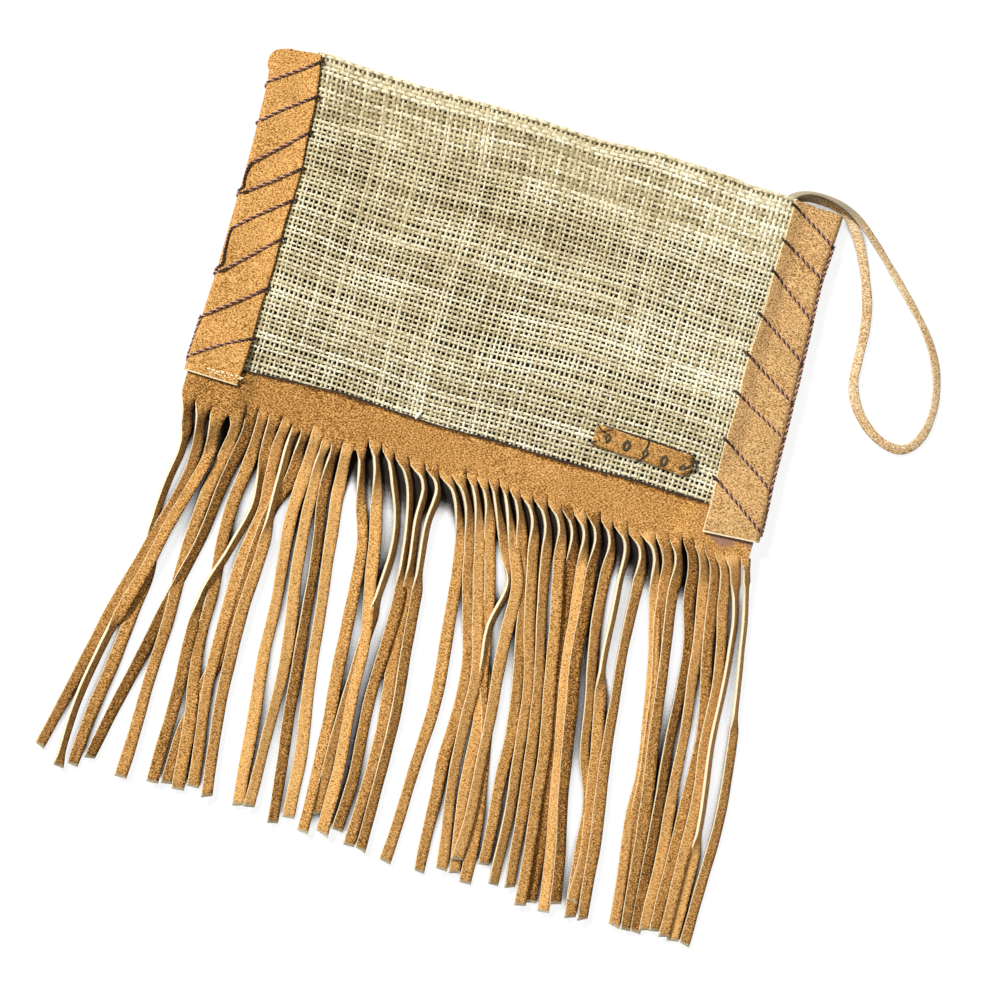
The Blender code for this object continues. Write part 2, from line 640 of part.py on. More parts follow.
def main():
    """Builds every sub-part."""
    clear_scene()
    burlap = material("burlap", (0.62, 0.55, 0.37), 0.95)
    suede = material("suede", (0.62, 0.33, 0.09), 0.9)
    cotton = material("lining_cotton", (0.03, 0.022, 0.014), 0.9)
    waxed = material("waxed_cord", (0.12, 0.05, 0.055), 0.6)
    thread = material("dark_thread", (0.05, 0.035, 0.03), 0.8)
    pale = material("pale_thread", (0.8, 0.73, 0.52), 0.85)
    tape = material("zip_tape", (0.06, 0.045, 0.03), 0.85)
    brass = material("brass", (0.55, 0.4, 0.16), 0.35)
    cutter = hole_cutters()
    front_panel(burlap, cutter)
    back_panel(burlap, cutter)
    lining(cotton)
    side_trim("left_trim", -1, suede)
    side_trim("right_trim", 1, suede)
    fringe(suede)
    lacing("left_lacing", -1, LEFT_LEGS, waxed)
    lacing("right_lacing", 1, RIGHT_LEGS, waxed)
    ribbon("wrist_strap", STRAP_ROUTE, STRAP_WIDTH, STRAP_THICK, suede)
    on_front("label_patch", LABEL_MIDDLE, LABEL_SIZE, LABEL_THICK, suede)
    lift = LABEL_THICK + 0.75
    left = LABEL_MIDDLE[0] - LABEL_SIZE[0] / 2
    right = LABEL_MIDDLE[0] + LABEL_SIZE[0] / 2
    top = LABEL_MIDDLE[1] + LABEL_SIZE[1] / 2 + 0.9
    foot = LABEL_MIDDLE[1] - LABEL_SIZE[1] / 2 - 0.9
    route = [(left + 2, top, 0.35), (left + 2.2, top, lift), (left + 5, top - 3, lift)]
    tack("label_tack_left", route, thread)
    tack(
        "label_tack_middle",
        [(73, top, 0.35), (73, top, lift), (72.3, -47.2, lift), (72, foot, lift), (72, foot, 0.35)],
        thread,
    )
    route = [(right - 5, -45.8, lift), (right + 1, -47.5, lift), (right + 1.2, -48.5, 0.4)]
    tack("label_tack_right", route, thread)
    zip_tape("zip_tape_front", True, tape)
    zip_tape("zip_tape_back", False, tape)
    zip_teeth("zip_teeth_front", True, brass)
    zip_teeth("zip_teeth_back", False, brass)
    base, at_x = zip_slider(brass)
    zip_pull(base, at_x, brass)
    zip_stop("zip_stop_left", ZIP_FROM - 1.2, brass)
    zip_stop("zip_stop_right", ZIP_TO + 1.2, brass)
    stitch_y = -68.3
    route = []
    for x in span(104.5, 119, 9):
        over = trim_height(-x, stitch_y, True) + TRIM_THICK + 0.85
        route.append((-x, stitch_y + 0.4 * math.sin(x), over))
    cord("corner_stitch", route, 0.8, pale)


main()
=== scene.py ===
"""Dresses the wristlet clutch: woven burlap, napped suede, laced trims, a cut fringe and a wrist loop.

Lengths in this file are millimetres until a mesh is made, and metres from there on. A panel is laid out on the
straight pouch of the solids, and strayed() then moves it to the photographed edges.
"""

import logging
import math
from dataclasses import dataclass, field
from enum import Enum
from typing import Callable, Sequence

import bpy
import numpy as np
from mathutils import Matrix, Vector

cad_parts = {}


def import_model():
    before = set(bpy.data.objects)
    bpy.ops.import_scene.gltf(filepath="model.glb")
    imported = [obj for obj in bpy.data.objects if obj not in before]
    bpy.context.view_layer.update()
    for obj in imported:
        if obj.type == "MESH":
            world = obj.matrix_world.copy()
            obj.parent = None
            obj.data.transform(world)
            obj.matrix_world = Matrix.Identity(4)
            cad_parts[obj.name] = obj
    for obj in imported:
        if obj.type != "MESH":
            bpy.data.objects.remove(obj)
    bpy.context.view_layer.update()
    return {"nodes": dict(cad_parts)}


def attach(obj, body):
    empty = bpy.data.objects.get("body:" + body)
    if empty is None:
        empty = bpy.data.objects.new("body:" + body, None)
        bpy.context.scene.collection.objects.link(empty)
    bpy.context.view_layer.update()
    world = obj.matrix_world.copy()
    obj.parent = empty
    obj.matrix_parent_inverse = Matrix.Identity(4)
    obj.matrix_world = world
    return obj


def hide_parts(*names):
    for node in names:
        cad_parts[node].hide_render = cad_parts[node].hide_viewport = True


LOG = logging.getLogger("clutch")
MM = 0.001
BODY = "clutch"

Point = tuple[float, float, float]


# Shapes shared with the solids


@dataclass(frozen=True)
class Pouch:
    """The pouch's own surfaces, in the sizes of the solids."""

    half_width: float = 127.0
    top: float = 72.5
    bottom: float = -69.0
    burlap: float = 1.0
    mouth_gap: float = 8.0
    shut_gap: float = 0.4
    side_rise: float = 3.6
    rise_from: float = 93.0
    rise_to: float = 102.0
    full_to: float = 94.0
    slope: float = 40.0
    trim_inner: float = 103.0
    trim_fold: float = 127.2
    trim_thick: float = 1.4
    trim_room: float = 0.3
    yarn_cover: float = 1.25
    hem_rise: float = 0.35
    hem_foot: float = 51.0
    band_rise: float = 2.3
    band_top: float = -50.0

    def back_top(self, x: float) -> float:
        """Returns the height of the back wall's inner face."""
        return self.burlap + self.side_rise * soft_step((abs(x) - self.rise_from) / (self.rise_to - self.rise_from))

    def front_under(self, x: float, y: float) -> float:
        """Returns the height of the front wall's inner face.

        Args:
            x: place along the mouth.
            y: place up from the middle.

        Returns:
            The height above the floor.
        """
        sides = soft_step((self.half_width + 0.5 - abs(x)) / (self.half_width + 0.5 - self.full_to))
        foot = soft_step((y - self.bottom) / self.slope)
        full = self.burlap + self.shut_gap + (self.mouth_gap - self.shut_gap) * sides * foot
        return max(self.back_top(x) + self.shut_gap, full)

    def front_top(self, x: float, y: float) -> float:
        """Returns the height that covers the front wall's yarns."""
        return self.front_under(x, y) + self.yarn_cover + self.hem_rise * soft_step((y - self.hem_foot) / 3)

    def trim_under(self, x: float, y: float, front: bool) -> float:
        """Returns the height of a trim's inner face, on the front or on the back.

        Args:
            x: place along the mouth.
            y: place up from the middle.
            front: True for the front flap.

        Returns:
            The height above the floor.
        """
        if not front:
            return self.back_top(x) - self.burlap - self.trim_room
        return self.front_top(x, y) + self.trim_room + self.band_rise * soft_step((self.band_top - y) / 8)


# Where the photographed edges stray from straight ones: the place of each edge at heights up the side
LEFT_OUTER = ((-80, -127.2), (-72, -127.0), (-30, -126.2), (9, -126.6), (34, -127.2), (57, -128.6), (74, -131.2))
LEFT_INNER = ((-80, -102.4), (-67, -102.3), (-24, -102.3), (26, -103), (50, -105), (74, -108.8))
RIGHT_INNER = ((-80, 106.6), (-54, 105.1), (-7, 103.4), (41, 103.3), (72, 102.8))
RIGHT_OUTER = ((-80, 131.2), (-70, 131), (-47, 129.2), (-27, 128.4), (9, 126.4), (43, 124.2), (71, 125.2))
TOP_EDGE = ((-131, 72), (-110, 74.4), (-98, 74.2), (-80, 73.2), (-58, 72.9), (-35, 73.6), (-5, 73.8), (18, 72.8),
            (42, 75), (66, 74.2), (88, 72.8), (103, 73.2), (126, 72.4))
# The same edges on the straight pouch, left to right, and its mouth, with the height from which the mouth strays
STRAIGHT_EDGES = (-130.2, -103.0, 103.0, 130.2)
STRAIGHT_MOUTH = 73.0
STRAY_FROM = 45
# Steps between two given places of a smooth curve
CURVE_STEPS = 24


def soft_step(value: float) -> float:
    """Returns a soft step from 0 to 1 as value goes from 0 to 1."""
    value = min(max(value, 0.0), 1.0)
    return value * value * (3 - 2 * value)


def read_line(line: Sequence[tuple[float, float]], at: float) -> float:
    """Returns the second value of a table of pairs at a place between its first values."""
    return float(np.interp(at, [pair[0] for pair in line], [pair[1] for pair in line]))


def strayed(x: float, y: float) -> tuple[float, float]:
    """Moves a place on the straight pouch to where the photographed clutch has it.

    Args:
        x: place along the mouth on the straight pouch.
        y: place up from the middle on it.

    Returns:
        The place on the real one.
    """
    real = [read_line(line, y) for line in (LEFT_OUTER, LEFT_INNER, RIGHT_INNER, RIGHT_OUTER)]
    moved = float(np.interp(x, STRAIGHT_EDGES, real))
    lift = (read_line(TOP_EDGE, x) - STRAIGHT_MOUTH) * soft_step((y - STRAY_FROM) / (STRAIGHT_MOUTH - STRAY_FROM))
    return moved, y + lift


def smooth_route(points: Sequence[Sequence[float]], step: float) -> np.ndarray:
    """Returns an evenly spaced line on a smooth curve through the points.

    Args:
        points: the places that the curve passes through.
        step: the distance between the returned places.

    Returns:
        One row for each place.
    """
    marks = np.array(points, float)
    padded = np.vstack([2 * marks[0] - marks[1], marks, 2 * marks[-1] - marks[-2]])
    fine = []
    for first in range(len(marks) - 1):
        a, b, c, d = padded[first:first + 4]
        for t in np.linspace(0, 1, CURVE_STEPS, endpoint=False):
            fine.append(0.5 * (2 * b + (c - a) * t + (2 * a - 5 * b + 4 * c - d) * t**2
                               + (3 * b - a - 3 * c + d) * t**3))
    fine.append(marks[-1])
    fine = np.array(fine)
    along = np.concatenate([[0], np.cumsum(np.linalg.norm(np.diff(fine[:, :3], axis=0), axis=1))])
    count = max(int(round(along[-1] / step)), 2) + 1
    places = np.linspace(0, along[-1], count)
    return np.column_stack([np.interp(places, along, fine[:, k]) for k in range(fine.shape[1])])


# Materials


def linear(hex_colour: str) -> tuple[float, float, float, float]:
    """Returns an sRGB hex colour as linear red, green, blue and alpha.

    Args:
        hex_colour: the colour as #RRGGBB.

    Returns:
        The four values.
    """
    parts = [int(hex_colour[k:k + 2], 16) / 255 for k in (1, 3, 5)]
    turned = [v / 12.92 if v <= 0.04045 else ((v + 0.055) / 1.055) ** 2.4 for v in parts]
    return turned[0], turned[1], turned[2], 1.0


def add_node(tree: bpy.types.NodeTree, kind: str, links: dict | None = None, **settings: object) -> bpy.types.Node:
    """Adds a node with its settings and its links.

    Args:
        tree: the node tree.
        kind: the node's type name.
        links: input name or number to a socket that feeds it, or to a plain value.
        settings: the node's own properties.

    Returns:
        The new node.
    """
    node = tree.nodes.new(kind)
    for name, value in settings.items():
        setattr(node, name, value)
    for name, value in (links or {}).items():
        if isinstance(value, bpy.types.NodeSocket):
            tree.links.new(value, node.inputs[name])
        else:
            node.inputs[name].default_value = value
    return node


def new_material(name: str) -> tuple[bpy.types.Material, bpy.types.NodeTree, bpy.types.Node]:
    """Returns a new material, its tree and its shader.

    Args:
        name: the material's name.

    Returns:
        The material, its node tree and its Principled shader.
    """
    made = bpy.data.materials.new(name)
    made.use_nodes = True
    return made, made.node_tree, made.node_tree.nodes["Principled BSDF"]


def worked(tree: bpy.types.NodeTree, operation: str, *values: object) -> bpy.types.NodeSocket:
    """Returns the result of one math node on sockets or plain numbers."""
    return add_node(tree, "ShaderNodeMath", dict(enumerate(values)), operation=operation).outputs[0]


def ranged(tree: bpy.types.NodeTree, value: bpy.types.NodeSocket, start: float, end: float,
           low: float = 0.0, high: float = 1.0) -> bpy.types.NodeSocket:
    """Returns a value as a share that goes from low where it is start to high where it is end."""
    ends = {"From Min": start, "From Max": end, "To Min": low, "To Max": high}
    return add_node(tree, "ShaderNodeMapRange", {"Value": value, **ends}).outputs[0]


def attribute(tree: bpy.types.NodeTree, name: str) -> bpy.types.NodeSocket:
    """Returns the value of a mesh attribute."""
    return add_node(tree, "ShaderNodeAttribute", attribute_name=name).outputs["Fac"]


def noise(tree: bpy.types.NodeTree, where: bpy.types.NodeSocket, scale: float,
          **shape: float) -> bpy.types.NodeSocket:
    """Returns a noise pattern's value, with its other inputs, such as Detail, by name."""
    return add_node(tree, "ShaderNodeTexNoise", {"Vector": where, "Scale": scale, **shape}).outputs["Fac"]


def bumped(tree: bpy.types.NodeTree, shader: bpy.types.Node, height: bpy.types.NodeSocket,
           strength: float, distance: float) -> None:
    """Roughens a shader's surface by a pattern, to a distance in metres."""
    bump = add_node(tree, "ShaderNodeBump", {"Strength": strength, "Distance": distance, "Height": height})
    tree.links.new(bump.outputs[0], shader.inputs["Normal"])


def cells(size_mm: float) -> float:
    """Returns the noise scale, in cells a metre, for a cell of this size."""
    return 1000 / size_mm


def ramp(tree: bpy.types.NodeTree, factor: bpy.types.NodeSocket,
         stops: Sequence[tuple[float, str]]) -> bpy.types.NodeSocket:
    """Returns the colour of a ramp of hex stops at a factor.

    Args:
        tree: the material's tree.
        factor: the socket that picks the place on the ramp.
        stops: each stop's place and its hex colour.

    Returns:
        The ramp's colour.
    """
    node = add_node(tree, "ShaderNodeValToRGB", {0: factor})
    bar = node.color_ramp.elements
    while len(bar) < len(stops):
        bar.new(0.5)
    for element, (place, colour) in zip(bar, stops):
        element.position = place
        element.color = linear(colour)
    return node.outputs[0]


@dataclass(frozen=True)
class SuedeFinish:
    """Split cowhide, tumbled and brushed: a short nap in light and dark specks, matt, with pale cut edges."""

    name: str = "split_suede_brushed"
    # The ramp's dark end is reached by the nap's specks and by the painted shade that pieces carry in their tone
    dark: str = "#3A2109"
    deep: str = "#74480F"
    middle: str = "#C18B49"
    light: str = "#EFBC76"
    edge: str = "#F6E8C2"
    flesh: str = "#A39780"
    stain: str = "#8B6A66"
    # The nap's specks: their size, and how hard they stand out from each other
    nap_mm: float = 0.54
    nap_blur: float = 1.4
    nap_contrast: float = 2.1
    nap_middle: float = -0.62
    # Broader, faint clouds in the dye
    mottle_mm: float = 11.0
    mottle_share: float = 0.14

    def build(self) -> bpy.types.Material:
        """Returns the material.

        Returns:
            The material, which reads the mesh's tone, rim, cut_edge, flesh and stain; the tone also carries painted
            shade.
        """
        made, tree, shader = new_material(self.name)
        where = add_node(tree, "ShaderNodeTexCoord").outputs["Object"]
        lie = add_node(tree, "ShaderNodeMapping", {"Vector": where, "Scale": (1.0, 1.5, 1.0),
                                                   "Rotation": (0, 0, 0.5)})
        nap = noise(tree, lie.outputs[0], cells(self.nap_mm) / self.nap_blur, Detail=2.0, Roughness=0.6,
                    Distortion=0.4)
        mottle = noise(tree, where, cells(self.mottle_mm), Detail=2.0)
        speck = worked(tree, "MULTIPLY_ADD", nap, self.nap_contrast, self.nap_middle)
        spread = worked(tree, "MULTIPLY_ADD", mottle, self.mottle_share, speck)
        shifted = worked(tree, "ADD", attribute(tree, "tone"), spread)
        hide = ramp(tree, shifted, ((0.02, self.dark), (0.22, self.deep), (0.5, self.middle), (0.8, self.light)))
        cut = self.mark(tree, "cut_edge", 0.0, 1.0)
        rim = self.mark(tree, "rim", 0.35, 0.9)
        pale = self.mixed(tree, worked(tree, "MAXIMUM", cut, rim), hide, self.edge)
        grey = self.mixed(tree, self.mark(tree, "flesh", 0.0, 1.0), pale, self.flesh)
        dirty = self.mixed(tree, self.mark(tree, "stain", 0.15, 1.15), grey, self.stain)
        tree.links.new(dirty, shader.inputs["Base Color"])
        bumped(tree, shader, nap, 0.8, 0.0004)
        shader.inputs["Roughness"].default_value = 0.95
        shader.inputs["Specular IOR Level"].default_value = 0.2
        shader.inputs["Sheen Weight"].default_value = 0.12
        shader.inputs["Sheen Roughness"].default_value = 0.6
        shader.inputs["Sheen Tint"].default_value = linear("#F0C890")
        return made

    def mark(self, tree: bpy.types.NodeTree, name: str, low: float, high: float) -> bpy.types.NodeSocket:
        """Returns a mesh attribute as a mask that goes from 0 at low to 1 at high."""
        return ranged(tree, attribute(tree, name), low, high)

    def mixed(self, tree: bpy.types.NodeTree, mask: bpy.types.NodeSocket, under: bpy.types.NodeSocket,
              colour: str) -> bpy.types.NodeSocket:
        """Returns a colour laid over another by a mask."""
        node = add_node(tree, "ShaderNodeMix", {0: mask, 6: under, 7: linear(colour)}, data_type="RGBA")
        return node.outputs[2]


@dataclass(frozen=True)
class JuteFinish:
    """Plain-woven jute yarn, undyed: chalky cream fibre with brown flecks of bark, and matt."""

    name: str = "jute_yarn_woven"
    dark: str = "#8E7A55"
    middle: str = "#CDBF97"
    light: str = "#F6F0D6"
    # Paler and darker stretches along the rows, and small flecks of bark in them
    mottle_mm: float = 14.0
    mottle_share: float = 0.5
    fleck_mm: float = 5.0 / 3
    fleck_share: float = 0.55

    def build(self) -> bpy.types.Material:
        """Returns the material.

        Returns:
            The material, which reads the mesh's tone.
        """
        made, tree, shader = new_material(self.name)
        where = add_node(tree, "ShaderNodeTexCoord").outputs["Object"]
        wide = add_node(tree, "ShaderNodeMapping", {"Vector": where, "Scale": (0.4, 1.6, 1.0)})
        mottle = noise(tree, wide.outputs[0], cells(self.mottle_mm), Detail=4.0, Roughness=0.6, Distortion=0.8)
        fleck = noise(tree, where, cells(self.fleck_mm), Detail=3.0)
        mixed = worked(tree, "MULTIPLY_ADD", mottle, self.mottle_share, attribute(tree, "tone"))
        spread = worked(tree, "MULTIPLY_ADD", fleck, self.fleck_share, mixed)
        hue = ramp(tree, spread, ((0.2, self.dark), (0.46, self.middle), (0.72, self.light)))
        tree.links.new(hue, shader.inputs["Base Color"])
        bumped(tree, shader, fleck, 0.6, 0.0003)
        shader.inputs["Roughness"].default_value = 0.92
        shader.inputs["Specular IOR Level"].default_value = 0.15
        return made


@dataclass(frozen=True)
class ThreadFinish:
    """Spun thread or cloth, dyed: one colour that pales and darkens a little along the fibre."""

    name: str
    dark: str
    light: str
    roughness: float = 0.8
    grain_mm: float = 1.2

    def build(self) -> bpy.types.Material:
        """Returns the material.

        Returns:
            The material, which reads the mesh's tone.
        """
        made, tree, shader = new_material(self.name)
        where = add_node(tree, "ShaderNodeTexCoord").outputs["Object"]
        grain = noise(tree, where, cells(self.grain_mm), Detail=2.0)
        shifted = worked(tree, "ADD", attribute(tree, "tone"), grain)
        hue = ramp(tree, shifted, ((0.3, self.dark), (0.7, self.light)))
        tree.links.new(hue, shader.inputs["Base Color"])
        bumped(tree, shader, grain, 0.4, 0.0002)
        shader.inputs["Roughness"].default_value = self.roughness
        return made


@dataclass(frozen=True)
class BrassFinish:
    """Stamped brass, rolled and left to dull: fine rolling lines and darker spots."""

    name: str = "brass_stamped"
    dark: str = "#8C6A32"
    light: str = "#C9A55C"
    spot_scale: float = 900.0

    def build(self) -> bpy.types.Material:
        """Returns the material.

        Returns:
            The material.
        """
        made, tree, shader = new_material(self.name)
        where = add_node(tree, "ShaderNodeTexCoord").outputs["Object"]
        drawn = add_node(tree, "ShaderNodeMapping", {"Vector": where, "Scale": (0.2, 1.0, 1.0)})
        spots = noise(tree, drawn.outputs[0], self.spot_scale, Detail=3.0)
        hue = ramp(tree, spots, ((0.35, self.dark), (0.62, self.light)))
        tree.links.new(hue, shader.inputs["Base Color"])
        tree.links.new(ranged(tree, spots, 0.0, 1.0, 0.45, 0.25), shader.inputs["Roughness"])
        shader.inputs["Metallic"].default_value = 1.0
        return made


class Finish(Enum):
    """Every finish on the clutch."""

    # Tan hide with a speckled nap: the fringe, the left trim and the label
    SUEDE = SuedeFinish()
    # The same hide, rubbed and duller: the right trim
    WORN = SuedeFinish(name="split_suede_greyed", deep="#7C5830", middle="#C4965C", light="#F0C78E")
    # Paler hide, cut as lace, with greyed flesh where its rough side shows
    LACE = SuedeFinish(name="suede_lace_cut", deep="#A67C48", middle="#DAB684", light="#F6E2C0", edge="#EFE3C4")
    JUTE = JuteFinish()
    # Near black: dark cotton, darkened further as painted shade so that the weave's openings read as dark
    LINING = ThreadFinish("cotton_lining_dyed", "#140E08", "#2E2415", 0.95)
    # Plum brown with paler, pinkish parts: the lacing's tone paints light on one ply and shade on the other, and near
    # the holes
    CORD = ThreadFinish("waxed_cord_twisted", "#35190F", "#C89A86", 0.6, 0.8)
    # Dark sewing thread of the label's tacks and of the band's edge, where it also paints the shadow line under the
    # burlap
    THREAD = ThreadFinish("polyester_thread_spun", "#1D1512", "#3B2C26", 0.7)
    # Cream scuffed thread of the left trim's foot
    PALE = ThreadFinish("cotton_thread_scuffed", "#E6D3A0", "#FFF6DC", 0.9)
    # Hide darkened by a hot stamp
    STAMP = ThreadFinish("suede_stamped_burnt", "#3A3222", "#5C5138", 0.9)
    # Dark woven tape under the mouth
    TAPE = ThreadFinish("zip_tape_woven", "#1E1710", "#332819", 0.85)
    BRASS = BrassFinish()


MADE: dict[Finish, bpy.types.Material] = {}


def dressed(finish: Finish) -> bpy.types.Material:
    """Returns a finish's material, made once.

    Args:
        finish: which finish.

    Returns:
        Its material.
    """
    if finish not in MADE:
        MADE[finish] = finish.value.build()
    return MADE[finish]


# Geometry Nodes


def new_tree(name: str, inputs: Sequence[tuple[str, str, object]]) -> bpy.types.NodeTree:
    """Returns a Geometry Nodes tree with a Geometry input and output and the named inputs.

    Args:
        name: the tree's name.
        inputs: each one's name, socket type and default.

    Returns:
        The tree.
    """
    tree = bpy.data.node_groups.new(name, "GeometryNodeTree")
    tree.interface.new_socket("Geometry", in_out="INPUT", socket_type="NodeSocketGeometry")
    for label, kind, default in inputs:
        made = tree.interface.new_socket(label, in_out="INPUT", socket_type=kind)
        if default is not None:
            made.default_value = default
    tree.interface.new_socket("Geometry", in_out="OUTPUT", socket_type="NodeSocketGeometry")
    return tree


def close_tree(tree: bpy.types.NodeTree, geometry: bpy.types.NodeSocket, material: bpy.types.NodeSocket) -> None:
    """Ends a tree with Realize Instances and Set Material.

    Args:
        tree: the tree.
        geometry: the finished geometry.
        material: the tree's Material input.
    """
    real = add_node(tree, "GeometryNodeRealizeInstances", {0: geometry})
    painted = add_node(tree, "GeometryNodeSetMaterial", {"Geometry": real.outputs[0], "Material": material})
    add_node(tree, "NodeGroupOutput", {0: painted.outputs[0]})


def sweep_tree() -> bpy.types.NodeTree:
    """Returns a tree that sweeps an oval section along each line of a wire mesh.

    Returns:
        The tree, whose inputs are Sides, Flatness and Material. The wire's own attribute
        named thick is the radius at each point.
    """
    tree = new_tree("yarn_sweep", (("Sides", "NodeSocketInt", 6), ("Flatness", "NodeSocketFloat", 1.0),
                                   ("Material", "NodeSocketMaterial", None)))
    given = add_node(tree, "NodeGroupInput")
    lines = add_node(tree, "GeometryNodeMeshToCurve", {0: given.outputs["Geometry"]})
    level = add_node(tree, "GeometryNodeSetCurveNormal", {0: lines.outputs[0]}, mode="Z_UP")
    thick = add_node(tree, "GeometryNodeInputNamedAttribute", {"Name": "thick"}, data_type="FLOAT")
    ring = add_node(tree, "GeometryNodeCurvePrimitiveCircle", {"Resolution": given.outputs["Sides"], "Radius": 1.0})
    flat = add_node(tree, "ShaderNodeCombineXYZ", {0: 1.0, 1: given.outputs["Flatness"], 2: 1.0})
    oval = add_node(tree, "GeometryNodeTransform", {"Geometry": ring.outputs[0], "Scale": flat.outputs[0]})
    swept = add_node(tree, "GeometryNodeCurveToMesh", {"Curve": level.outputs[0], "Profile Curve": oval.outputs[0],
                                                       "Scale": thick.outputs[0], "Fill Caps": True})
    smooth = add_node(tree, "GeometryNodeSetShadeSmooth", {0: swept.outputs[0]})
    close_tree(tree, smooth.outputs[0], given.outputs["Material"])
    return tree


def sheet_tree() -> bpy.types.NodeTree:
    """Returns a tree that gives an open surface its thickness and marks its cut edges.

    Returns:
        The tree, whose inputs are Thickness and Material. The surface faces up, and the
        thickness goes down from it.
    """
    tree = new_tree("hide_thickness", (("Thickness", "NodeSocketFloat", 0.0014),
                                       ("Material", "NodeSocketMaterial", None)))
    given = add_node(tree, "NodeGroupInput")
    down = add_node(tree, "ShaderNodeMath", {0: given.outputs["Thickness"], 1: -1.0}, operation="MULTIPLY")
    deep = add_node(tree, "GeometryNodeExtrudeMesh", {"Mesh": given.outputs["Geometry"], "Individual": False,
                                                      "Offset Scale": down.outputs[0]}, mode="FACES")
    marked = add_node(tree, "GeometryNodeStoreNamedAttribute", {"Geometry": deep.outputs["Mesh"],
                                                                "Selection": deep.outputs["Side"],
                                                                "Name": "cut_edge", "Value": 1.0},
                      data_type="FLOAT", domain="FACE")
    turned = add_node(tree, "GeometryNodeFlipFaces", {0: marked.outputs[0]})
    both = add_node(tree, "GeometryNodeJoinGeometry")
    tree.links.new(turned.outputs[0], both.inputs[0])
    tree.links.new(given.outputs["Geometry"], both.inputs[0])
    whole = add_node(tree, "GeometryNodeMergeByDistance", {0: both.outputs[0], "Distance": 0.000001})
    smooth = add_node(tree, "GeometryNodeSetShadeSmooth", {0: whole.outputs[0]})
    close_tree(tree, smooth.outputs[0], given.outputs["Material"])
    return tree


def fibre_tree() -> bpy.types.NodeTree:
    """Returns a tree that stands loose bent hairs on a surface.

    Returns:
        The tree, whose inputs are Density, Length, Radius, Seed and Material.
    """
    tree = new_tree("loose_fibres", (("Density", "NodeSocketFloat", 20000.0), ("Length", "NodeSocketFloat", 0.002),
                                     ("Radius", "NodeSocketFloat", 0.00006), ("Seed", "NodeSocketInt", 3),
                                     ("Material", "NodeSocketMaterial", None)))
    given = add_node(tree, "NodeGroupInput")
    spots = add_node(tree, "GeometryNodeDistributePointsOnFaces", {"Mesh": given.outputs["Geometry"],
                                                                  "Density": given.outputs["Density"],
                                                                  "Seed": given.outputs["Seed"]})
    far = add_node(tree, "ShaderNodeCombineXYZ", {0: given.outputs["Length"], 1: 0.0, 2: 0.0})
    half = add_node(tree, "ShaderNodeVectorMath", {0: far.outputs[0], "Scale": 0.5}, operation="SCALE")
    bowed = add_node(tree, "ShaderNodeVectorMath", {0: half.outputs[0], 1: (0.0, 0.0006, 0.0005)}, operation="ADD")
    hair = add_node(tree, "GeometryNodeCurveQuadraticBezier", {"Resolution": 4, "Middle": bowed.outputs[0],
                                                               "End": far.outputs[0], "Start": (0.0, 0.0, 0.0)})
    ring = add_node(tree, "GeometryNodeCurvePrimitiveCircle", {"Resolution": 3, "Radius": given.outputs["Radius"]})
    strand = add_node(tree, "GeometryNodeCurveToMesh", {"Curve": hair.outputs[0], "Profile Curve": ring.outputs[0],
                                                        "Fill Caps": True})
    turn = add_node(tree, "FunctionNodeRandomValue", {0: (-0.35, -0.5, 0.0), 1: (0.35, 0.1, 6.28), "Seed": 11},
                    data_type="FLOAT_VECTOR")
    size = add_node(tree, "FunctionNodeRandomValue", {2: 0.4, 3: 1.3, "Seed": 12}, data_type="FLOAT")
    placed = add_node(tree, "GeometryNodeInstanceOnPoints", {"Points": spots.outputs["Points"],
                                                            "Instance": strand.outputs[0],
                                                            "Rotation": turn.outputs[0], "Scale": size.outputs[1]})
    close_tree(tree, placed.outputs[0], given.outputs["Material"])
    return tree


TREES: dict[str, bpy.types.NodeTree] = {}


def grown(obj: bpy.types.Object, maker: Callable[[], bpy.types.NodeTree], **values: object) -> bpy.types.Object:
    """Runs a tree on an object and keeps the result as its plain mesh.

    Args:
        obj: the object whose mesh is the tree's input.
        maker: the function that makes the tree, run once.
        values: the tree's named inputs.

    Returns:
        The same object, with its new mesh and no modifier.
    """
    if maker.__name__ not in TREES:
        TREES[maker.__name__] = maker()
    tree = TREES[maker.__name__]
    modifier = obj.modifiers.new("tree", "NODES")
    modifier.node_group = tree
    names = {item.name: item.identifier for item in tree.interface.items_tree
             if item.item_type == "SOCKET" and item.in_out == "INPUT"}
    for label, value in values.items():
        modifier[names[label]] = value
    graph = bpy.context.evaluated_depsgraph_get()
    mesh = bpy.data.meshes.new_from_object(obj.evaluated_get(graph), depsgraph=graph)
    obj.modifiers.remove(modifier)
    old = obj.data
    obj.data = mesh
    bpy.data.meshes.remove(old)
    mesh.name = obj.name
    return obj


# Meshes


def add_object(name: str, points: Sequence[Sequence[float]], edges: Sequence[Sequence[int]],
               faces: Sequence[Sequence[int]],
               attributes: dict[str, Sequence[float]] | None = None) -> bpy.types.Object:
    """Adds an object from places in millimetres.

    Args:
        name: the object's name.
        points: the places.
        edges: point numbers of loose lines.
        faces: point numbers of faces.
        attributes: a value for each point under each name.

    Returns:
        The object.
    """
    mesh = bpy.data.meshes.new(name)
    mesh.from_pydata([tuple(float(v) * MM for v in place) for place in points], edges, faces)
    for label, values in (attributes or {}).items():
        layer = mesh.attributes.new(label, "FLOAT", "POINT")
        layer.data.foreach_set("value", np.array(values, np.float32))
    mesh.update()
    obj = bpy.data.objects.new(name, mesh)
    bpy.context.scene.collection.objects.link(obj)
    return obj


def grid_faces(rows: int, columns: int, first: int = 0) -> list[tuple[int, int, int, int]]:
    """Returns the faces of a grid of points stored row by row, facing up when rows go down and columns right.

    Args:
        rows: how many rows of points.
        columns: how many points in a row.
        first: the number of the grid's first point.

    Returns:
        Four point numbers for each face.
    """
    faces = []
    for row in range(rows - 1):
        for column in range(columns - 1):
            corner = first + row * columns + column
            faces.append((corner, corner + columns, corner + columns + 1, corner + 1))
    return faces


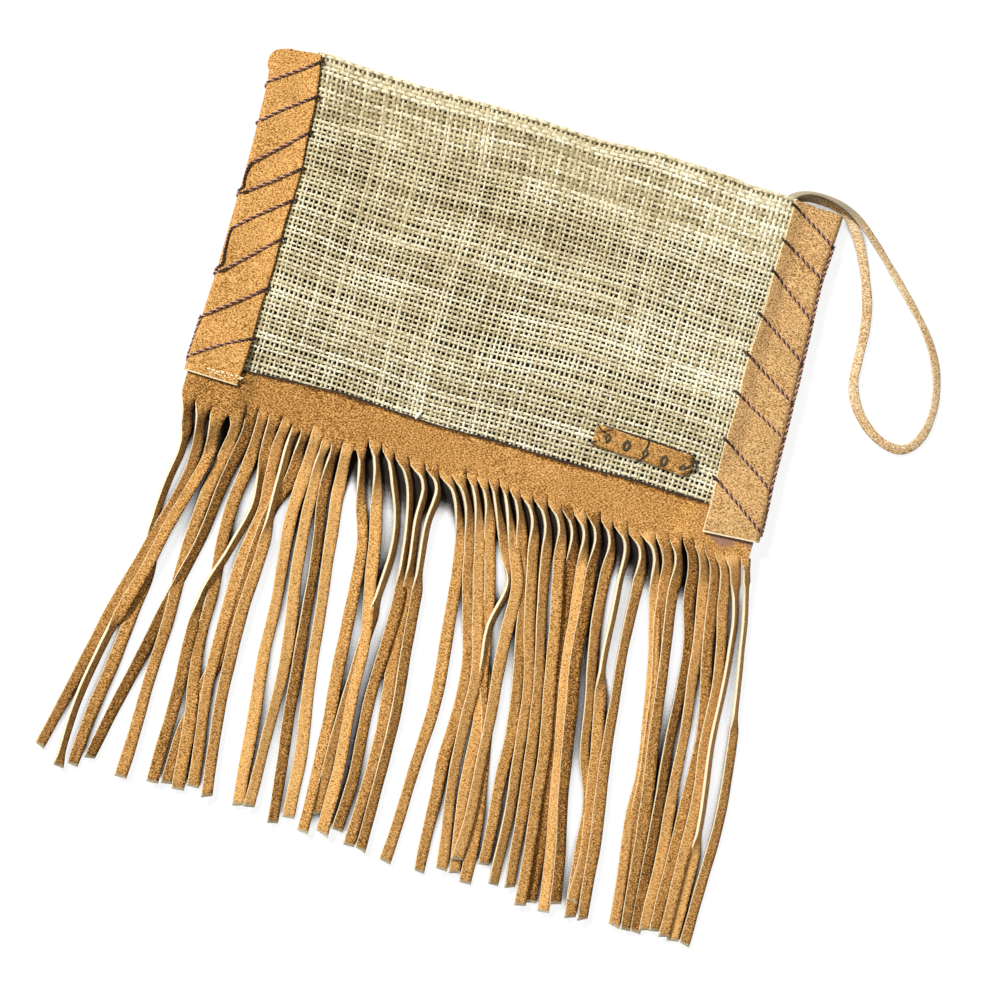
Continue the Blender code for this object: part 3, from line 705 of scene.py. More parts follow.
@dataclass
class Wire:
    """Many lines gathered as one wire mesh, with a radius and a tone at each point."""

    points: list[Point] = field(default_factory=list)
    edges: list[tuple[int, int]] = field(default_factory=list)
    thick: list[float] = field(default_factory=list)
    tone: list[float] = field(default_factory=list)

    def add(self, route: Sequence[Sequence[float]], radius: float | Sequence[float],
            tone: float | Sequence[float] = 0.0) -> None:
        """Adds one line, with one radius and tone or one for each point.

        Args:
            route: the line's places.
            radius: its radius, or one for each place.
            tone: its shade, or one for each place.
        """
        start = len(self.points)
        self.points += [tuple(place[:3]) for place in route]
        self.edges += [(start + k, start + k + 1) for k in range(len(route) - 1)]
        radii = [radius] * len(route) if isinstance(radius, (int, float)) else list(radius)
        self.thick += [value * MM for value in radii]
        self.tone += [tone] * len(route) if isinstance(tone, (int, float)) else list(tone)

    def swept(self, name: str, finish: Finish, sides: int = 6, flatness: float = 1.0) -> bpy.types.Object:
        """Returns the lines as one swept object."""
        obj = add_object(name, self.points, self.edges, [], {"thick": self.thick, "tone": self.tone})
        return grown(obj, sweep_tree, Sides=sides, Flatness=flatness, Material=dressed(finish))


def finished(obj: bpy.types.Object, slot: str, *nodes: str) -> bpy.types.Object:
    """Makes a piece ride on the clutch and stands it for its CAD nodes.

    Args:
        obj: the piece.
        slot: its material slot's name; not used.
        nodes: the CAD nodes that it stands for.

    Returns:
        The same piece.
    """
    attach(obj, BODY)
    if nodes:
        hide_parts(*nodes)
    return obj


# The pieces


@dataclass
class Weave:
    """A plain weave of real yarns over a surface: warp up the clutch and weft along it."""

    name: str
    height: Callable[[float, float], float]
    fullness: Callable[[float, float], float]
    left: float
    right: float
    foot: float
    head: float
    pitch: float = 2.12
    radius: float = 0.72
    lift: float = 0.34
    flatness: float = 0.55
    sides: int = 5
    seed: int = 4
    astray: tuple[float, float] = (0.15, 0.19)
    jitter: float = 0.06
    slub: float = 0.36
    thinnest: float = 0.35
    thickest: float = 1.02

    def lines(self) -> tuple[Wire, Wire]:
        """Returns the warp and the weft as wires.

        Returns:
            Two wires, with places in millimetres.
        """
        rng = np.random.default_rng(self.seed)
        across = np.arange(self.left, self.right + 0.01, self.pitch)
        up = np.arange(self.foot, self.head + 0.01, self.pitch)
        shift_x = rng.normal(0, self.astray[0], len(across))
        shift_y = rng.normal(0, self.astray[1], len(up))
        phases = rng.uniform(0, 6.28, 6)
        # The yarns wander in slow waves, less so near the mouth and the foot
        wide = 0.45 * np.sin(across[:, None] / 31 + up[None, :] / 17 + phases[0])
        wide += 0.22 * np.sin(across[:, None] / 9.0 + up[None, :] / 23 + phases[1])
        tall = 1.1 * np.sin(across[:, None] / 26 + up[None, :] / 47 + phases[2])
        tall += 0.35 * np.sin(across[:, None] / 11.0 - up[None, :] / 19 + phases[3])
        fade = np.clip((self.head - up) / 12, 0, 1)[None, :] * np.clip((up - self.foot) / 12, 0.25, 1)[None, :]
        px = across[:, None] + shift_x[:, None] + wide + rng.normal(0, self.jitter, wide.shape)
        py = up[None, :] + shift_y[None, :] + tall * fade + rng.normal(0, self.jitter, tall.shape)
        warp, weft = Wire(), Wire()
        for i in range(len(across)):
            marks = [(px[i, j], py[i, j], self.lift * (1 if (i + j) % 2 else -1)) for j in range(len(up))]
            self.run(warp, marks, rng, 0.9)
        for j in range(len(up)):
            marks = [(px[i, j], py[i, j], self.lift * (-1 if (i + j) % 2 else 1)) for i in range(len(across))]
            self.run(weft, marks, rng, 1.06)
        return warp, weft

    def run(self, wire: Wire, marks: list[Point], rng: np.random.Generator, size: float) -> None:
        """Adds one yarn, with a point between crossings and slubs along it.

        Args:
            wire: the wire it joins.
            marks: its places at the crossings, with its lift over the surface.
            rng: the weave's random numbers.
            size: its thickness against the weave's own.
        """
        crossings = np.array([(*strayed(x, y), self.height(x, y) + lift) for x, y, lift in marks])
        route = np.empty((2 * len(crossings) - 1, 3))
        route[0::2] = crossings
        route[1::2] = (crossings[:-1] + crossings[1:]) / 2
        places, at = np.arange(len(route)) / 2, np.arange(len(marks))
        full = np.interp(places, at, [self.fullness(x, y) for x, y, _ in marks])
        own = size * self.radius * rng.normal(1, 0.08)
        slub = np.convolve(rng.normal(0, 1, len(route) + 12), np.ones(13) / 13, "valid")
        radii = own * full * (1 + self.slub * slub + rng.normal(0, 0.05, len(route)))
        tone_gradient = np.interp(places, at, [self.tone_gradient(x, y) for x, y, _ in marks])
        wire.add(route, list(np.clip(radii, self.thinnest, self.thickest)), tone_gradient + rng.normal(0, self.jitter))

    def tone_gradient(self, x: float, y: float) -> float:
        """Returns the cloth's shade: darker up the clutch, paler towards its upper right."""
        return 0.01 - 0.08 * soft_step((y + 50) / 100) + 0.09 * soft_step(x / 100) * soft_step((y + 40) / 40)

    def build(self) -> tuple[bpy.types.Object, bpy.types.Object]:
        """Returns the warp and the weft as objects.

        Returns:
            The two objects.
        """
        warp, weft = self.lines()
        return (warp.swept(f"{self.name}_warp", Finish.JUTE, self.sides, self.flatness),
                weft.swept(f"{self.name}_weft", Finish.JUTE, self.sides, self.flatness))


@dataclass
class BurlapWalls:
    """The front and back walls, the front's turned-in hem, and the loose fibres on them."""

    pouch: Pouch
    half: float = 106.5
    hem_half: float = 105.5
    hem_depth: float = 19.5
    front_middle: float = 0.74
    back_middle: float = 0.72
    hem_middle: float = -0.55
    flat: tuple[float, float] = (0.213, 0.142)
    area: float = 0.024

    def fullness(self, x: float, y: float) -> float:
        """Returns how full the yarns lie: dense at the hem, open in patches lower down.

        Args:
            x: place along the mouth.
            y: place up from the middle.

        Returns:
            The yarns' size against the weave's own.
        """
        patch = math.sin(x / 19 + y / 13) * math.sin(x / 33 - y / 21 + 1)
        patch += 0.6 * math.sin(x / 47 + 2) * math.sin(y / 17)
        return 0.93 + 0.07 * patch + 0.27 * soft_step((y - 36) / 14)

    def dense(self, x: float, y: float) -> float:
        """Returns the fullness of the layer that lies behind the hem."""
        return 1.28 + 0.02 * math.sin(x / 7 + y / 5)

    def build(self) -> list[bpy.types.Object]:
        """Returns the pieces.

        Returns:
            Eight objects.
        """
        pouch = self.pouch
        front = Weave("front", lambda x, y: pouch.front_under(x, y) + self.front_middle + self.ridge(y),
                      self.fullness, -self.half, self.half, pouch.bottom + 2, pouch.top + 0.6)
        back = Weave("back", lambda x, y: self.back_middle + pouch.back_top(x) - pouch.burlap, self.fullness,
                     -self.half, self.half, pouch.bottom + 1, pouch.top, lift=0.3, sides=4, seed=9)
        hem = Weave("hem", lambda x, y: pouch.front_under(x, y) + self.hem_middle, self.dense,
                    -self.hem_half, self.hem_half, pouch.top - self.hem_depth, pouch.top, sides=4, seed=14)
        warp, weft = front.build()
        hem_warp, hem_weft = hem.build()
        back_warp, back_weft = back.build()
        fold, fuzz = self.fold(), self.fibres()
        finished(warp, "burlap", "front_panel")
        finished(back_warp, "burlap", "back_panel")
        for piece in (weft, hem_warp, hem_weft, back_weft, fold, fuzz):
            finished(piece, "burlap")
        return [warp, weft, hem_warp, hem_weft, back_warp, back_weft, fold, fuzz]

    def ridge(self, y: float) -> float:
        """Returns the rise where the turned-in hem ends below the front."""
        return 0.35 * soft_step((y - 50) / 3) * (1 - 0.4 * soft_step((y - 54) / 5))

    def fold(self) -> bpy.types.Object:
        """Returns the yarns that lie along the mouth's folded edge.

        Returns:
            The object.
        """
        rng = np.random.default_rng(17)
        wire = Wire()
        # Four yarns, one under another round the fold
        for y, drop in ((72.9, 0.5), (73.35, 0.0), (73.3, -0.7), (72.6, -1.2)):
            route = []
            phase = rng.uniform(0, 6)
            for x in np.arange(-104.5, 104.6, 1.06):
                moved = strayed(x, y + 0.16 * math.sin(x / 2.3 + phase) + rng.normal(0, 0.08))
                route.append((*moved, self.pouch.front_under(x, y) + 0.6 + drop + 0.15 * math.sin(x * 1.48 + phase)))
            wire.add(route, list(0.72 + rng.normal(0, 0.06, len(route))), float(rng.normal(0, 0.06)))
        return wire.swept("hem_fold", Finish.JUTE, 5, 0.8)

    def fibres(self) -> bpy.types.Object:
        """Returns loose jute hairs over the front, thickest along the mouth.

        Returns:
            The object.
        """
        points, faces = [], []
        # The whole front once, and the mouth's edge three times more
        for low, high, rows in ((-63.0, 74.0, 20), (72.4, 74.2, 2), (72.8, 74.6, 2), (72.6, 74.4, 2)):
            start = len(points)
            for y in np.linspace(high, low, rows):
                for x in np.linspace(-103, 104, 40):
                    moved = strayed(x, y)
                    points.append((moved[0], moved[1], self.pouch.front_under(x, y) + 1.1))
            faces += grid_faces(rows, 40, start)
        obj = add_object("jute_fibres", points, [], faces)
        return grown(obj, fibre_tree, Density=70000.0, Length=0.0022, Radius=0.00005, Seed=7,
                     Material=dressed(Finish.JUTE))


@dataclass
class Lining:
    """The dark cotton pouch inside, folded at its foot."""

    pouch: Pouch
    half: float = 101.5
    head: float = 57.0
    fold: float = -66.0
    off_front: float = 0.6
    off_back: float = 0.7
    slack: float = 0.2
    off_middle: float = 0.12

    def build(self) -> bpy.types.Object:
        """Returns the lining.

        Returns:
            The object.
        """
        xs = np.linspace(-self.half, self.half, 64)
        heights = list(np.linspace(self.head, self.fold, 30))
        rows = []
        for y in heights:
            rows.append([(x, y, self.level(x, y, False)) for x in xs])
        rows.append([(x, self.fold - 0.6, self.level(x, self.fold, False) + 0.05) for x in xs])
        for y in reversed(heights):
            rows.append([(x, y, self.level(x, y, True)) for x in xs])
        points = [(*strayed(x, y), z) for row in rows for x, y, z in row]
        obj = add_object("cotton_lining", points, [], grid_faces(len(rows), len(xs)))
        grown(obj, sheet_tree, Thickness=0.00015, Material=dressed(Finish.LINING))
        finished(obj, "lining_cotton", "lining")
        return obj

    def level(self, x: float, y: float, upper: bool) -> float:
        """Returns the height of the wall behind the front, or of the one before the back.

        Args:
            x: place along the mouth.
            y: place up from the middle.
            upper: True for the wall behind the front.

        Returns:
            The height above the floor.
        """
        low, high = self.pouch.back_top(x), self.pouch.front_under(x, y)
        middle = (low + high) / 2
        if upper:
            return max(high - self.off_front - self.slack * math.sin(x / 11 - y / 15), middle + self.off_middle)
        return min(low + self.off_back + self.slack * math.sin(x / 9 + y / 13), middle - self.off_middle)


# Rows of points that close in on a trim's cut foot: how far above it, and how pale
FOOT_ROWS = ((0.72, 0.0), (0.55, 0.8), (0.35, 1.0), (0.08, 1.0), (0.0, 1.0))


@dataclass
class SideTrim:
    """One suede strip folded over a side edge, with its flap on the front and on the back."""

    pouch: Pouch
    side: int
    foot: float = -72.0
    head: float = 73.2
    curl: tuple[float, ...] = (0.75, 0.3, 0.08)
    pale: tuple[float, ...] = (1.0, 0.8, 0.2)
    front_from: float = 5.4

    def section(self, y: float) -> list[tuple[float, float, float]]:
        """Returns the outer face's section at a height, from the front's inner edge round to the back's.

        Args:
            y: place up from the middle.

        Returns:
            Each point's place across, its height above the floor and its pale rim.
        """
        pouch = self.pouch
        across = [pouch.trim_inner + k for k in (0.0, 0.25, 0.6, 1.2)]
        across += list(np.linspace(106, pouch.trim_fold - 0.2, 12))
        high = [(x, pouch.trim_under(x, y, True) + pouch.trim_thick) for x in across]
        low = [(x, pouch.trim_under(x, y, False) - pouch.trim_thick, 0.0) for x in across[::-1]]
        flat = (0.0,) * (len(high) - 3)
        front = [(x, z - down, rim) for (x, z), down, rim in zip(high, self.curl + flat, self.pale + flat)]
        middle = (high[-1][1] + low[0][1]) / 2
        half = (high[-1][1] - low[0][1]) / 2
        bend = [(pouch.trim_fold + 3.0 * math.sin(t), middle + half * math.cos(t), 0.0)
                for t in np.linspace(0.25, math.pi - 0.25, 9)]
        return front + bend + low

    def build(self) -> bpy.types.Object:
        """Returns the trim.

        Returns:
            The object.
        """
        left = self.side < 0
        name = "left_suede_trim" if left else "right_suede_trim"
        rng = np.random.default_rng(20 + self.side)
        phase = rng.uniform(0, 6, 3)
        cream = 0.75 if left else 1.0
        head = self.head - (0.7 if left else 0.0)
        rows = [(y, 0.0) for y in np.linspace(head, self.foot + 0.9, 86)]
        rows += [(self.foot + gap, rim * cream) for gap, rim in FOOT_ROWS]
        points, rims, tones = [], [], []
        for row, (y, end) in enumerate(rows):
            for x, z, rim in self.section(y):
                front = z > self.front_from
                ripple = 0.22 * math.sin(y / 8.5 + phase[0]) + 0.14 * math.sin(y / 3.7 + phase[1] + x / 7)
                wavy = 0.3 * math.sin(y / 6.3 + phase[2]) * (1 if x < 104 else 0.3)
                moved = strayed(self.side * (x + wavy), y)
                drop = self.corner(x, y) if left else self.sag(x, y)
                ragged = rng.normal(0, 0.16) if row == 0 else 0.0
                height = z + ripple - 0.06 * end if front else z
                points.append((moved[0], moved[1] - (drop if left or front else 0.0) + ragged, max(height, 0.1)))
                # The right trim's inner edge is pale as its cut edge; the left trim's is darkened instead, as painted
                # shade on the side away from the light
                rims.append(max(0.0 if left or not front else rim, end if front else 0.0, 0.3 * (row == 0)))
                tones.append(0.03 - (0.55 * rim if left and front else 0.0))
        columns = len(points) // len(rows)
        faces = grid_faces(len(rows), columns)
        if left:
            faces = [tuple(reversed(face)) for face in faces]
        obj = add_object(name, points, [], faces, {"rim": rims, "tone": tones})
        grown(obj, sheet_tree, Thickness=0.00135, Material=dressed(Finish.SUEDE if left else Finish.WORN))
        finished(obj, "suede", "left_trim" if left else "right_trim")
        return obj

    def sag(self, x: float, y: float) -> float:
        """Returns how far the right flap's loose foot hangs down, most at its inner corner."""
        return 2.2 * (1 - (x - 103) / 27) * soft_step((-y - 52) / 20)

    def corner(self, x: float, y: float) -> float:
        """Returns how far the rounded upper corner draws a point down.

        Args:
            x: place along the mouth.
            y: place up from the middle.

        Returns:
            The drop in millimetres.
        """
        reach = 7.6
        inside = min(max((x - 130.2 + reach) / reach, 0.0), 1.0)
        drop = reach * (1 - math.sqrt(max(0.0, 1 - inside * inside)))
        return 0.8 * drop * soft_step((y - 61) / 11)


# Cuts between the fringe's strands along the band, left to right: x and the height of the cut's top
CUTS = (
    (-125, -79), (-118, -80.5), (-110.5, -83), (-103.5, -86), (-97, -78), (-91.5, -77), (-86.5, -79),
    (-80.5, -77), (-75.7, -80), (-71.3, -82), (-66.8, -77), (-61.5, -81), (-57, -84), (-52.5, -79),
    (-47.5, -84), (-42.8, -77), (-36.7, -77), (-31, -78), (-24, -79.5), (-17, -79), (-11, -79.5),
    (-5, -81.5), (1.3, -77), (6, -78.5), (11, -77), (16, -77), (20.5, -77.5), (25.5, -78), (31.5, -79),
    (38, -78), (44.5, -79), (50, -80), (55.6, -79.5), (61.7, -78), (67.5, -80), (74.3, -79),
    (80, -82), (86.5, -77), (93, -80), (98, -78), (102.3, -77), (107, -78), (111.5, -80),
    (115.9, -79), (122.8, -78), (126.8, -79),
)
STATIONS = (-90, -105, -120, -140, -160, -180, -200, -220)
# Each strand's middle at the stations, its tip, the layer it lies in, and where it stands on edge
STRANDS = (
    ((-120, -118, -119.5, -120.5, -117, -118.5, -120.5, -122.5), (-124.5, -249), 0, (-97, -143)),
    ((-113.5, -112, -113.5, -118.5, -122.5, -127.5, -131.5, -135), (-140.5, -245), 1, None),
    ((-107, -106.5, -109.5, -114.8, -118.5, -123, -127, -129.3), (-129.8, -251), 2, (-185, -250)),
    ((-98.5, -100.5, -103, -103.5, -103.5, -103, -103, -103), (-103, -248), 1, None),
    ((-93.5, -95.5, -97.5, -99.5, -103, -107, -110.5, -114), (-118.5, -244), 0, None),
    ((-88.8, -89.5, -90.5, -90, -88, -87, -84.5, -80.8), (-77.6, -246), 1, None),
    ((-83.8, -82.3, -80.8, -85.5, -91, -91.3, -90.3, -89.5), (-89, -246), 2, (-103, -172)),
    ((-79, -78.5, -77.5, -79.5, -79.8, -79.5, -78, -75.2), (-72, -243), 1, None),
    ((-74.2, -73.5, -73, -72.8, -73, -72.5, -71.5, -68.5), (-65, -245), 2, (-84, -128)),
    ((-69.6, -70, -74, -76, -76, -77, -80, -82.8), (-83.5, -245), 0, None),
    ((-64.5, -64.8, -64.6, -62.8, -60.3, -58.8, -56.5, -53.8), (-50.8, -245), 1, None),
    ((-59.7, -59, -58.4, -56, -52, -49.5, -48, -47), (-46.5, -244), 2, None),
    ((-55, -54.3, -52, -48.9, -46, -43.8, -41.5, -38), (-34.8, -248), 1, None),
    ((-49.8, -48.6, -46, -43.4, -40.4, -37.5, -34.5, -31), (-28.6, -244), 0, None),
    ((-41.5, -37.5, -32.8, -30, -27.8, -26.5, -24, -22.5), (-21.3, -248), 1, None),
    ((-34.5, -31, -27, -23, -19.3, -17.5, -15.5, -13.8), (-12.5, -246), 2, None),
    ((-27, -21, -18.6, -18.5, -19, -19.5, -19, -18.5), (-18, -239), 0, (-84, -148)),
    ((-20, -15.8, -13, -10, -10, -9.9, -8.3, -6.9), (-6.8, -243), 1, (-86, -132)),
    ((-13, -11.6, -9.6, -7.5, -5.5, -3, -0.8, 0), (-0.7, -248), 0, (-86, -130)),
    ((-7, -7, -5.5, -3.2, -0.5, 2, 3.5, 4.6), (4.8, -248), 2, (-88, -132)),
    ((1, 7.2, 10, 13, 15.8, 17.3, 17.4, 17.2), (16.5, -250), 1, None),
    ((5.8, 11.5, 15.3, 20.8, 26.3, 28.3, 27.8, 29.8), (32, -250), 0, None),
    ((10.8, 16, 19.5, 25.5, 31.3, 32, 33.8, 36.6), (40.8, -246), 2, None),
    ((15.8, 20.4, 24.6, 29.5, 33.5, 37.8, 39.7, 42.2), (46.5, -246), 1, None),
    ((20, 27, 33.6, 31.3, 34.5, 41.5, 46, 49.5), (52.5, -249), 0, (-114, -158)),
    ((25, 31, 36.8, 38.5, 40, 42.5, 44.5, 46), (46, -240), 2, None),
    ((30, 35, 40, 44.5, 49.5, 52.5, 54, 56.5), (57.5, -239), 1, None),
    ((36, 39.5, 43.5, 48.5, 54, 57.5, 60, 62.5), (64.5, -246), 0, None),
    ((42, 45.5, 49, 53.5, 58.5, 62.5, 65.3, 68.3), (71.5, -245), 1, None),
    ((48.5, 51.5, 54.8, 59.2, 63.8, 67.8, 70.8, 74), (77.5, -251), 2, None),
    ((54, 56.8, 59, 63, 67.8, 71.8, 75, 78.5), (81.8, -249), 0, None),
    ((59.4, 61.6, 63.6, 66.4, 70.5, 74.6, 78.6, 83), (88, -251), 1, None),
    ((64.8, 65.8, 67.5, 70, 74, 77.5, 82, 87), (92, -246), 2, None),
    ((71, 71.8, 73.6, 77.3, 81.4, 85.6, 93.3, 95.5), (100.3, -250), 0, None),
    ((78, 79, 80.5, 82.6, 86, 90.5, 94.5, 98), (99, -243), 1, (-86, -150)),
    ((84.6, 86.5, 87.8, 89.3, 92, 95, 98, 101.5), (105.3, -249), 2, None),
    ((91, 94.5, 98.6, 104, 108.3, 111.3, 112.5, 115.5), (119, -248), 1, None),
    ((95.8, 98.5, 101, 105.5, 109.5, 113, 114.5, 117), (121, -244), 0, None),
    ((100.6, 102.4, 105, 108, 111.5, 115, 118, 121), (124, -248), 2, None),
    ((107, 110, 114.5, 117, 119, 121.2, 123.5, 126), (128.5, -248), 1, None),
    ((112, 115.5, 119, 121.5, 124.3, 126.6, 128.7, 130.8), (132.6, -246), 0, None),
    ((116.6, 120, 123.2, 127.8, 131.6, 133.4, 134.3, 135.3), (136.8, -245), 1, None),
    ((121, 125, 128.6, 132, 134, 137, 138.6, 139.8), (140.6, -246), 2, None),
    ((126, 131.3, 133.4, 135.5, 137.5, 140.3, 143, 144.5), (145, -247), 0, (-93, -205)),
    ((131, 135.7, 138.4, 142, 146, 148.5, 149.8, 150.3), (150.3, -247), 1, (-88, -152)),
)
# Lower edge of the purple stain beside the right trim's foot
STAIN_FOOT = ((105.5, -73.0), (110, -76.6), (114, -78.2), (117.5, -77.6), (120.5, -74.6), (123, -74.2),
              (125, -76), (127.5, -75))
# Upper edge of the fringe's band
BAND_TOP = ((-126, -65.9), (-102, -65.2), (-60, -62.2), (-19, -63.8), (12, -62.8), (39, -62.9), (70, -61.8),
            (105, -62.0), (128, -62))
# Rows of points down the band, as shares of the way from its upper edge to the cuts
BAND_ROWS = (0.0, 0.03, 0.1, 0.25, 0.4, 0.55, 0.66, 0.72, 0.78, 0.85, 0.92, 1.0)
# How far the first two of those rows curl down, and their painted shade: a dark line of shadow along the band's upper
# edge
BAND_EDGE = ((0.45, -0.6), (0.1, -0.4))


@dataclass
class Fringe:
    """One suede sheet: a band across the front's foot, cut into strands that twist and lie over each other."""

    pouch: Pouch
    thick: float = 1.3
    width: float = 5.4
    half_band: float = 126.0
    over_yarns: float = 0.65
    twisted: range = range(14, 37)
    on_edge: float = 1.18
    layer_gap: float = 0.25
    across: tuple[float, ...] = (-1.0, -0.8, -0.4, 0.4, 0.87, 1.0)
    points: list[Point] = field(default_factory=list)
    tones: list[float] = field(default_factory=list)
    rims: list[float] = field(default_factory=list)
    stains: list[float] = field(default_factory=list)

    def add(self, place: Point, tone: float = 0.0, rim: float = 0.0, stain: float = 0.0) -> None:
        """Adds one point with its tone, its pale rim and its stain.

        Args:
            place: the point.
            tone: its shade.
            rim: how pale its cut edge is.
            stain: how far the stain covers it.
        """
        self.points.append(place)
        self.tones.append(tone)
        self.rims.append(rim)
        self.stains.append(stain)

    def band_height(self, x: float, y: float) -> float:
        """Returns the height of the band's outer face."""
        inside = min(max(x, -self.half_band), self.half_band)
        return self.pouch.front_top(inside, max(y, self.pouch.bottom + 0.5)) + self.over_yarns + self.thick

    def spread(self, x: float) -> float:
        """Returns how far the band reaches out at its right end."""
        return 1.6 * soft_step((x - 90) / 37)

    def band(self) -> tuple[int, list[tuple[int, ...]]]:
        """Adds the band's points down to the cuts' tops.

        Returns:
            The number of the first point of the last row, and the band's faces.
        """
        places = []
        for number in range(len(STRANDS)):
            left, right = CUTS[number], CUTS[number + 1]
            for t in self.across[:-1]:
                part = (t + 1) / 2
                places.append((left[0] + (right[0] - left[0]) * part, left[1] + (right[1] - left[1]) * part))
        places.append(CUTS[-1])
        for row, share in enumerate(BAND_ROWS):
            for x, cut_y in places:
                top = read_line(BAND_TOP, x)
                y = top + (cut_y - top) * share
                # The first two rows carry the painted shadow of the band's upper edge; the rest carry a tone that
                # grows paler to the right
                curl, shade = BAND_EDGE[row] if row < 2 else (0.0, 0.08 * soft_step((x + 100) / 150) - 0.1)
                z = self.band_height(x, y) + 0.12 * math.sin(x / 13) - curl
                stain = 0.82 * soft_step((x - 105) / 1.5) * soft_step((y - read_line(STAIN_FOOT, x)) / 1.2 + 0.4)
                self.add((x + self.spread(x), y, z), shade, 0.0, stain)
        return (len(BAND_ROWS) - 1) * len(places), grid_faces(len(BAND_ROWS), len(places))

    def strand_line(self, number: int, rng: np.random.Generator) -> np.ndarray:
        """Returns a strand's rows: x, y, height of its middle, roll and half width.

        Args:
            number: the strand's place along the band.
            rng: the fringe's random numbers.

        Returns:
            One row for each step down the strand.
        """
        middles, tip, layer, edge = STRANDS[number]
        left, right = CUTS[number], CUTS[number + 1]
        marks = [((left[0] + right[0]) / 2, (left[1] + right[1]) / 2)]
        marks += list(zip(middles, STATIONS)) + [tip]
        line = smooth_route([(x, y, 0.0) for x, y in marks], 2.4)
        twisted = number in self.twisted
        lean = rng.uniform(1.12, 1.38) if twisted else rng.uniform(0.5, 1.0)
        reach = rng.uniform(20, 34) if twisted else rng.uniform(14, 24)
        if rng.random() < 0.3:
            base = rng.uniform(0.4, 0.58)
        else:
            base = rng.uniform(0.16, 0.4) * (1 if rng.random() < 0.85 else -0.7)
        phase = rng.uniform(0, 6.28, 4)
        rows = []
        for x, y, _ in line:
            down = marks[0][1] - y
            roll = lean * soft_step(down / 7) * (1 - soft_step((down - 8) / reach))
            if edge is not None:
                inside = soft_step((edge[0] + 9 - y) / 14) * soft_step((y - edge[1] + 9) / 16)
                roll = max(roll, self.on_edge * inside)
            rest_roll = base + 0.16 * math.sin(down / 23 + phase[0])
            roll = roll if roll > abs(rest_roll) else rest_roll * soft_step(down / 12)
            start_half = (right[0] - left[0]) / 2
            half = start_half + (self.width / 2 - start_half) * soft_step(down / 14)
            half *= 1 + 0.05 * math.sin(down / 17 + phase[1]) + 0.02 * math.sin(down / 3.1 + phase[3])
            rest = self.thick + 0.1 + layer * (self.thick + self.layer_gap)
            band = self.band_height(x, self.pouch.bottom)
            z = rest + (band - rest) * (1 - soft_step((down - 1) / 24)) + 0.25 * math.sin(down / 15 + phase[2])
            z = max(z, self.thick + 0.1 + half * abs(math.sin(roll)) * 0.9)
            x += self.spread(x) * (1 - soft_step(down / 14))
            rows.append((x + 0.25 * math.sin(down / 9 + phase[1]) * soft_step(down / 20), y, z, roll, half))
        return np.array(rows)

    def strand(self, number: int, above: list[int], rng: np.random.Generator) -> list[tuple[int, ...]]:
        """Adds one strand's points below its place on the band.

        Args:
            number: the strand's place along the band.
            above: the band's points that it hangs from.
            rng: the fringe's random numbers.

        Returns:
            The strand's faces.
        """
        faces = []
        rows = self.strand_line(number, rng)
        own = float(rng.normal(0.05, 0.09))
        slant = rng.uniform(-0.25, 0.35)
        for row, (x, y, z, roll, half) in enumerate(rows[1:], 1):
            behind = rows[row - 1]
            along = Vector((x - behind[0], y - behind[1], 0)).normalized()
            reach = Vector((-along.y, along.x, 0)) * math.cos(roll) - Vector((0, 0, 1)) * math.sin(roll)
            here = len(self.points)
            last = row == len(rows) - 1
            for t in self.across:
                outer = abs(t) > 0.99
                lift = 0.22 * t * t - (0.3 if outer else 0.0) - (0.25 if last else 0.0)
                place = Vector((x, y, z)) + reach * half * t + Vector((0, 0, lift))
                if last:
                    place += along * (slant * half * t)
                # Painted shade: each strand's right edge, and the strip beside it, is darkened as the side away from
                # the light; the left edge and the tip show the pale cut edge
                shade = -0.95 if t > 0.99 else -0.25 if t > 0.8 else 0.0
                rim = 1.0 if t < -0.99 or last else 0.0
                self.add((place.x, place.y, max(place.z, self.thick + 0.05)), own + shade, rim)
            below = list(range(here, here + len(self.across)))
            faces += [(above[k], below[k], below[k + 1], above[k + 1]) for k in range(len(self.across) - 1)]
            above = below
        return faces

    def build(self) -> bpy.types.Object:
        """Returns the fringe.

        Returns:
            The object.
        """
        rng = np.random.default_rng(31)
        foot, faces = self.band()
        step = len(self.across) - 1
        for number in range(len(STRANDS)):
            start = foot + number * step
            faces += self.strand(number, list(range(start, start + step + 1)), rng)
        obj = add_object("suede_fringe", self.points, [], faces,
                         {"tone": self.tones, "rim": self.rims, "stain": self.stains})
        grown(obj, sheet_tree, Thickness=self.thick * MM, Material=dressed(Finish.SUEDE))
        finished(obj, "suede", "fringe")
        return obj


# Lacing: each leg's hole beside the trim and its far end at the clutch's edge
LEFT_LEGS = (
    ((-108.2, 71.1), (-128.2, 56.5)), ((-105.7, 56.1), (-126.0, 40.1)), ((-103.8, 41.0), (-124.8, 21.2)),
    ((-102.6, 25.2), (-124.4, 8.0)), ((-102.0, 11.4), (-124.9, -8.1)), ((-102.5, -6.3), (-123.7, -27.0)),
    ((-101.8, -28.0), (-126.0, -47.5)), ((-102.2, -50.6), (-126.9, -66.0)),
)
RIGHT_LEGS = (
    ((103.3, 70.7), (123.4, 59.3)), ((104.1, 54.8), (123.6, 44.3)), ((103.3, 41.1), (125.0, 25.6)),
    ((102.2, 22.3), (126.5, 7.2)), ((101.7, 4.6), (126.8, -10.2)), ((102.4, -12.6), (128.0, -26.0)),
    ((104.3, -33.7), (127.9, -48.1)), ((104.3, -50.2), (129.4, -67.0)),
)
# Slack legs on the left that turn down over the trim's face before they go round the edge: each one's number and bow
LEFT_SLACK = {2: 0.9, 4: 0.2}
# Stretches of the left lacing seen along the clutch's edge
LEFT_RUNS = ((6, 0.0),)
# Stretches of the right lacing seen along the clutch's edge: the number of the leg above and how far it bows out
RIGHT_RUNS = ((0, 0.1), (1, 0.0), (2, 0.2), (3, 0.3), (4, 0.2), (5, 0.1), (6, 0.2))


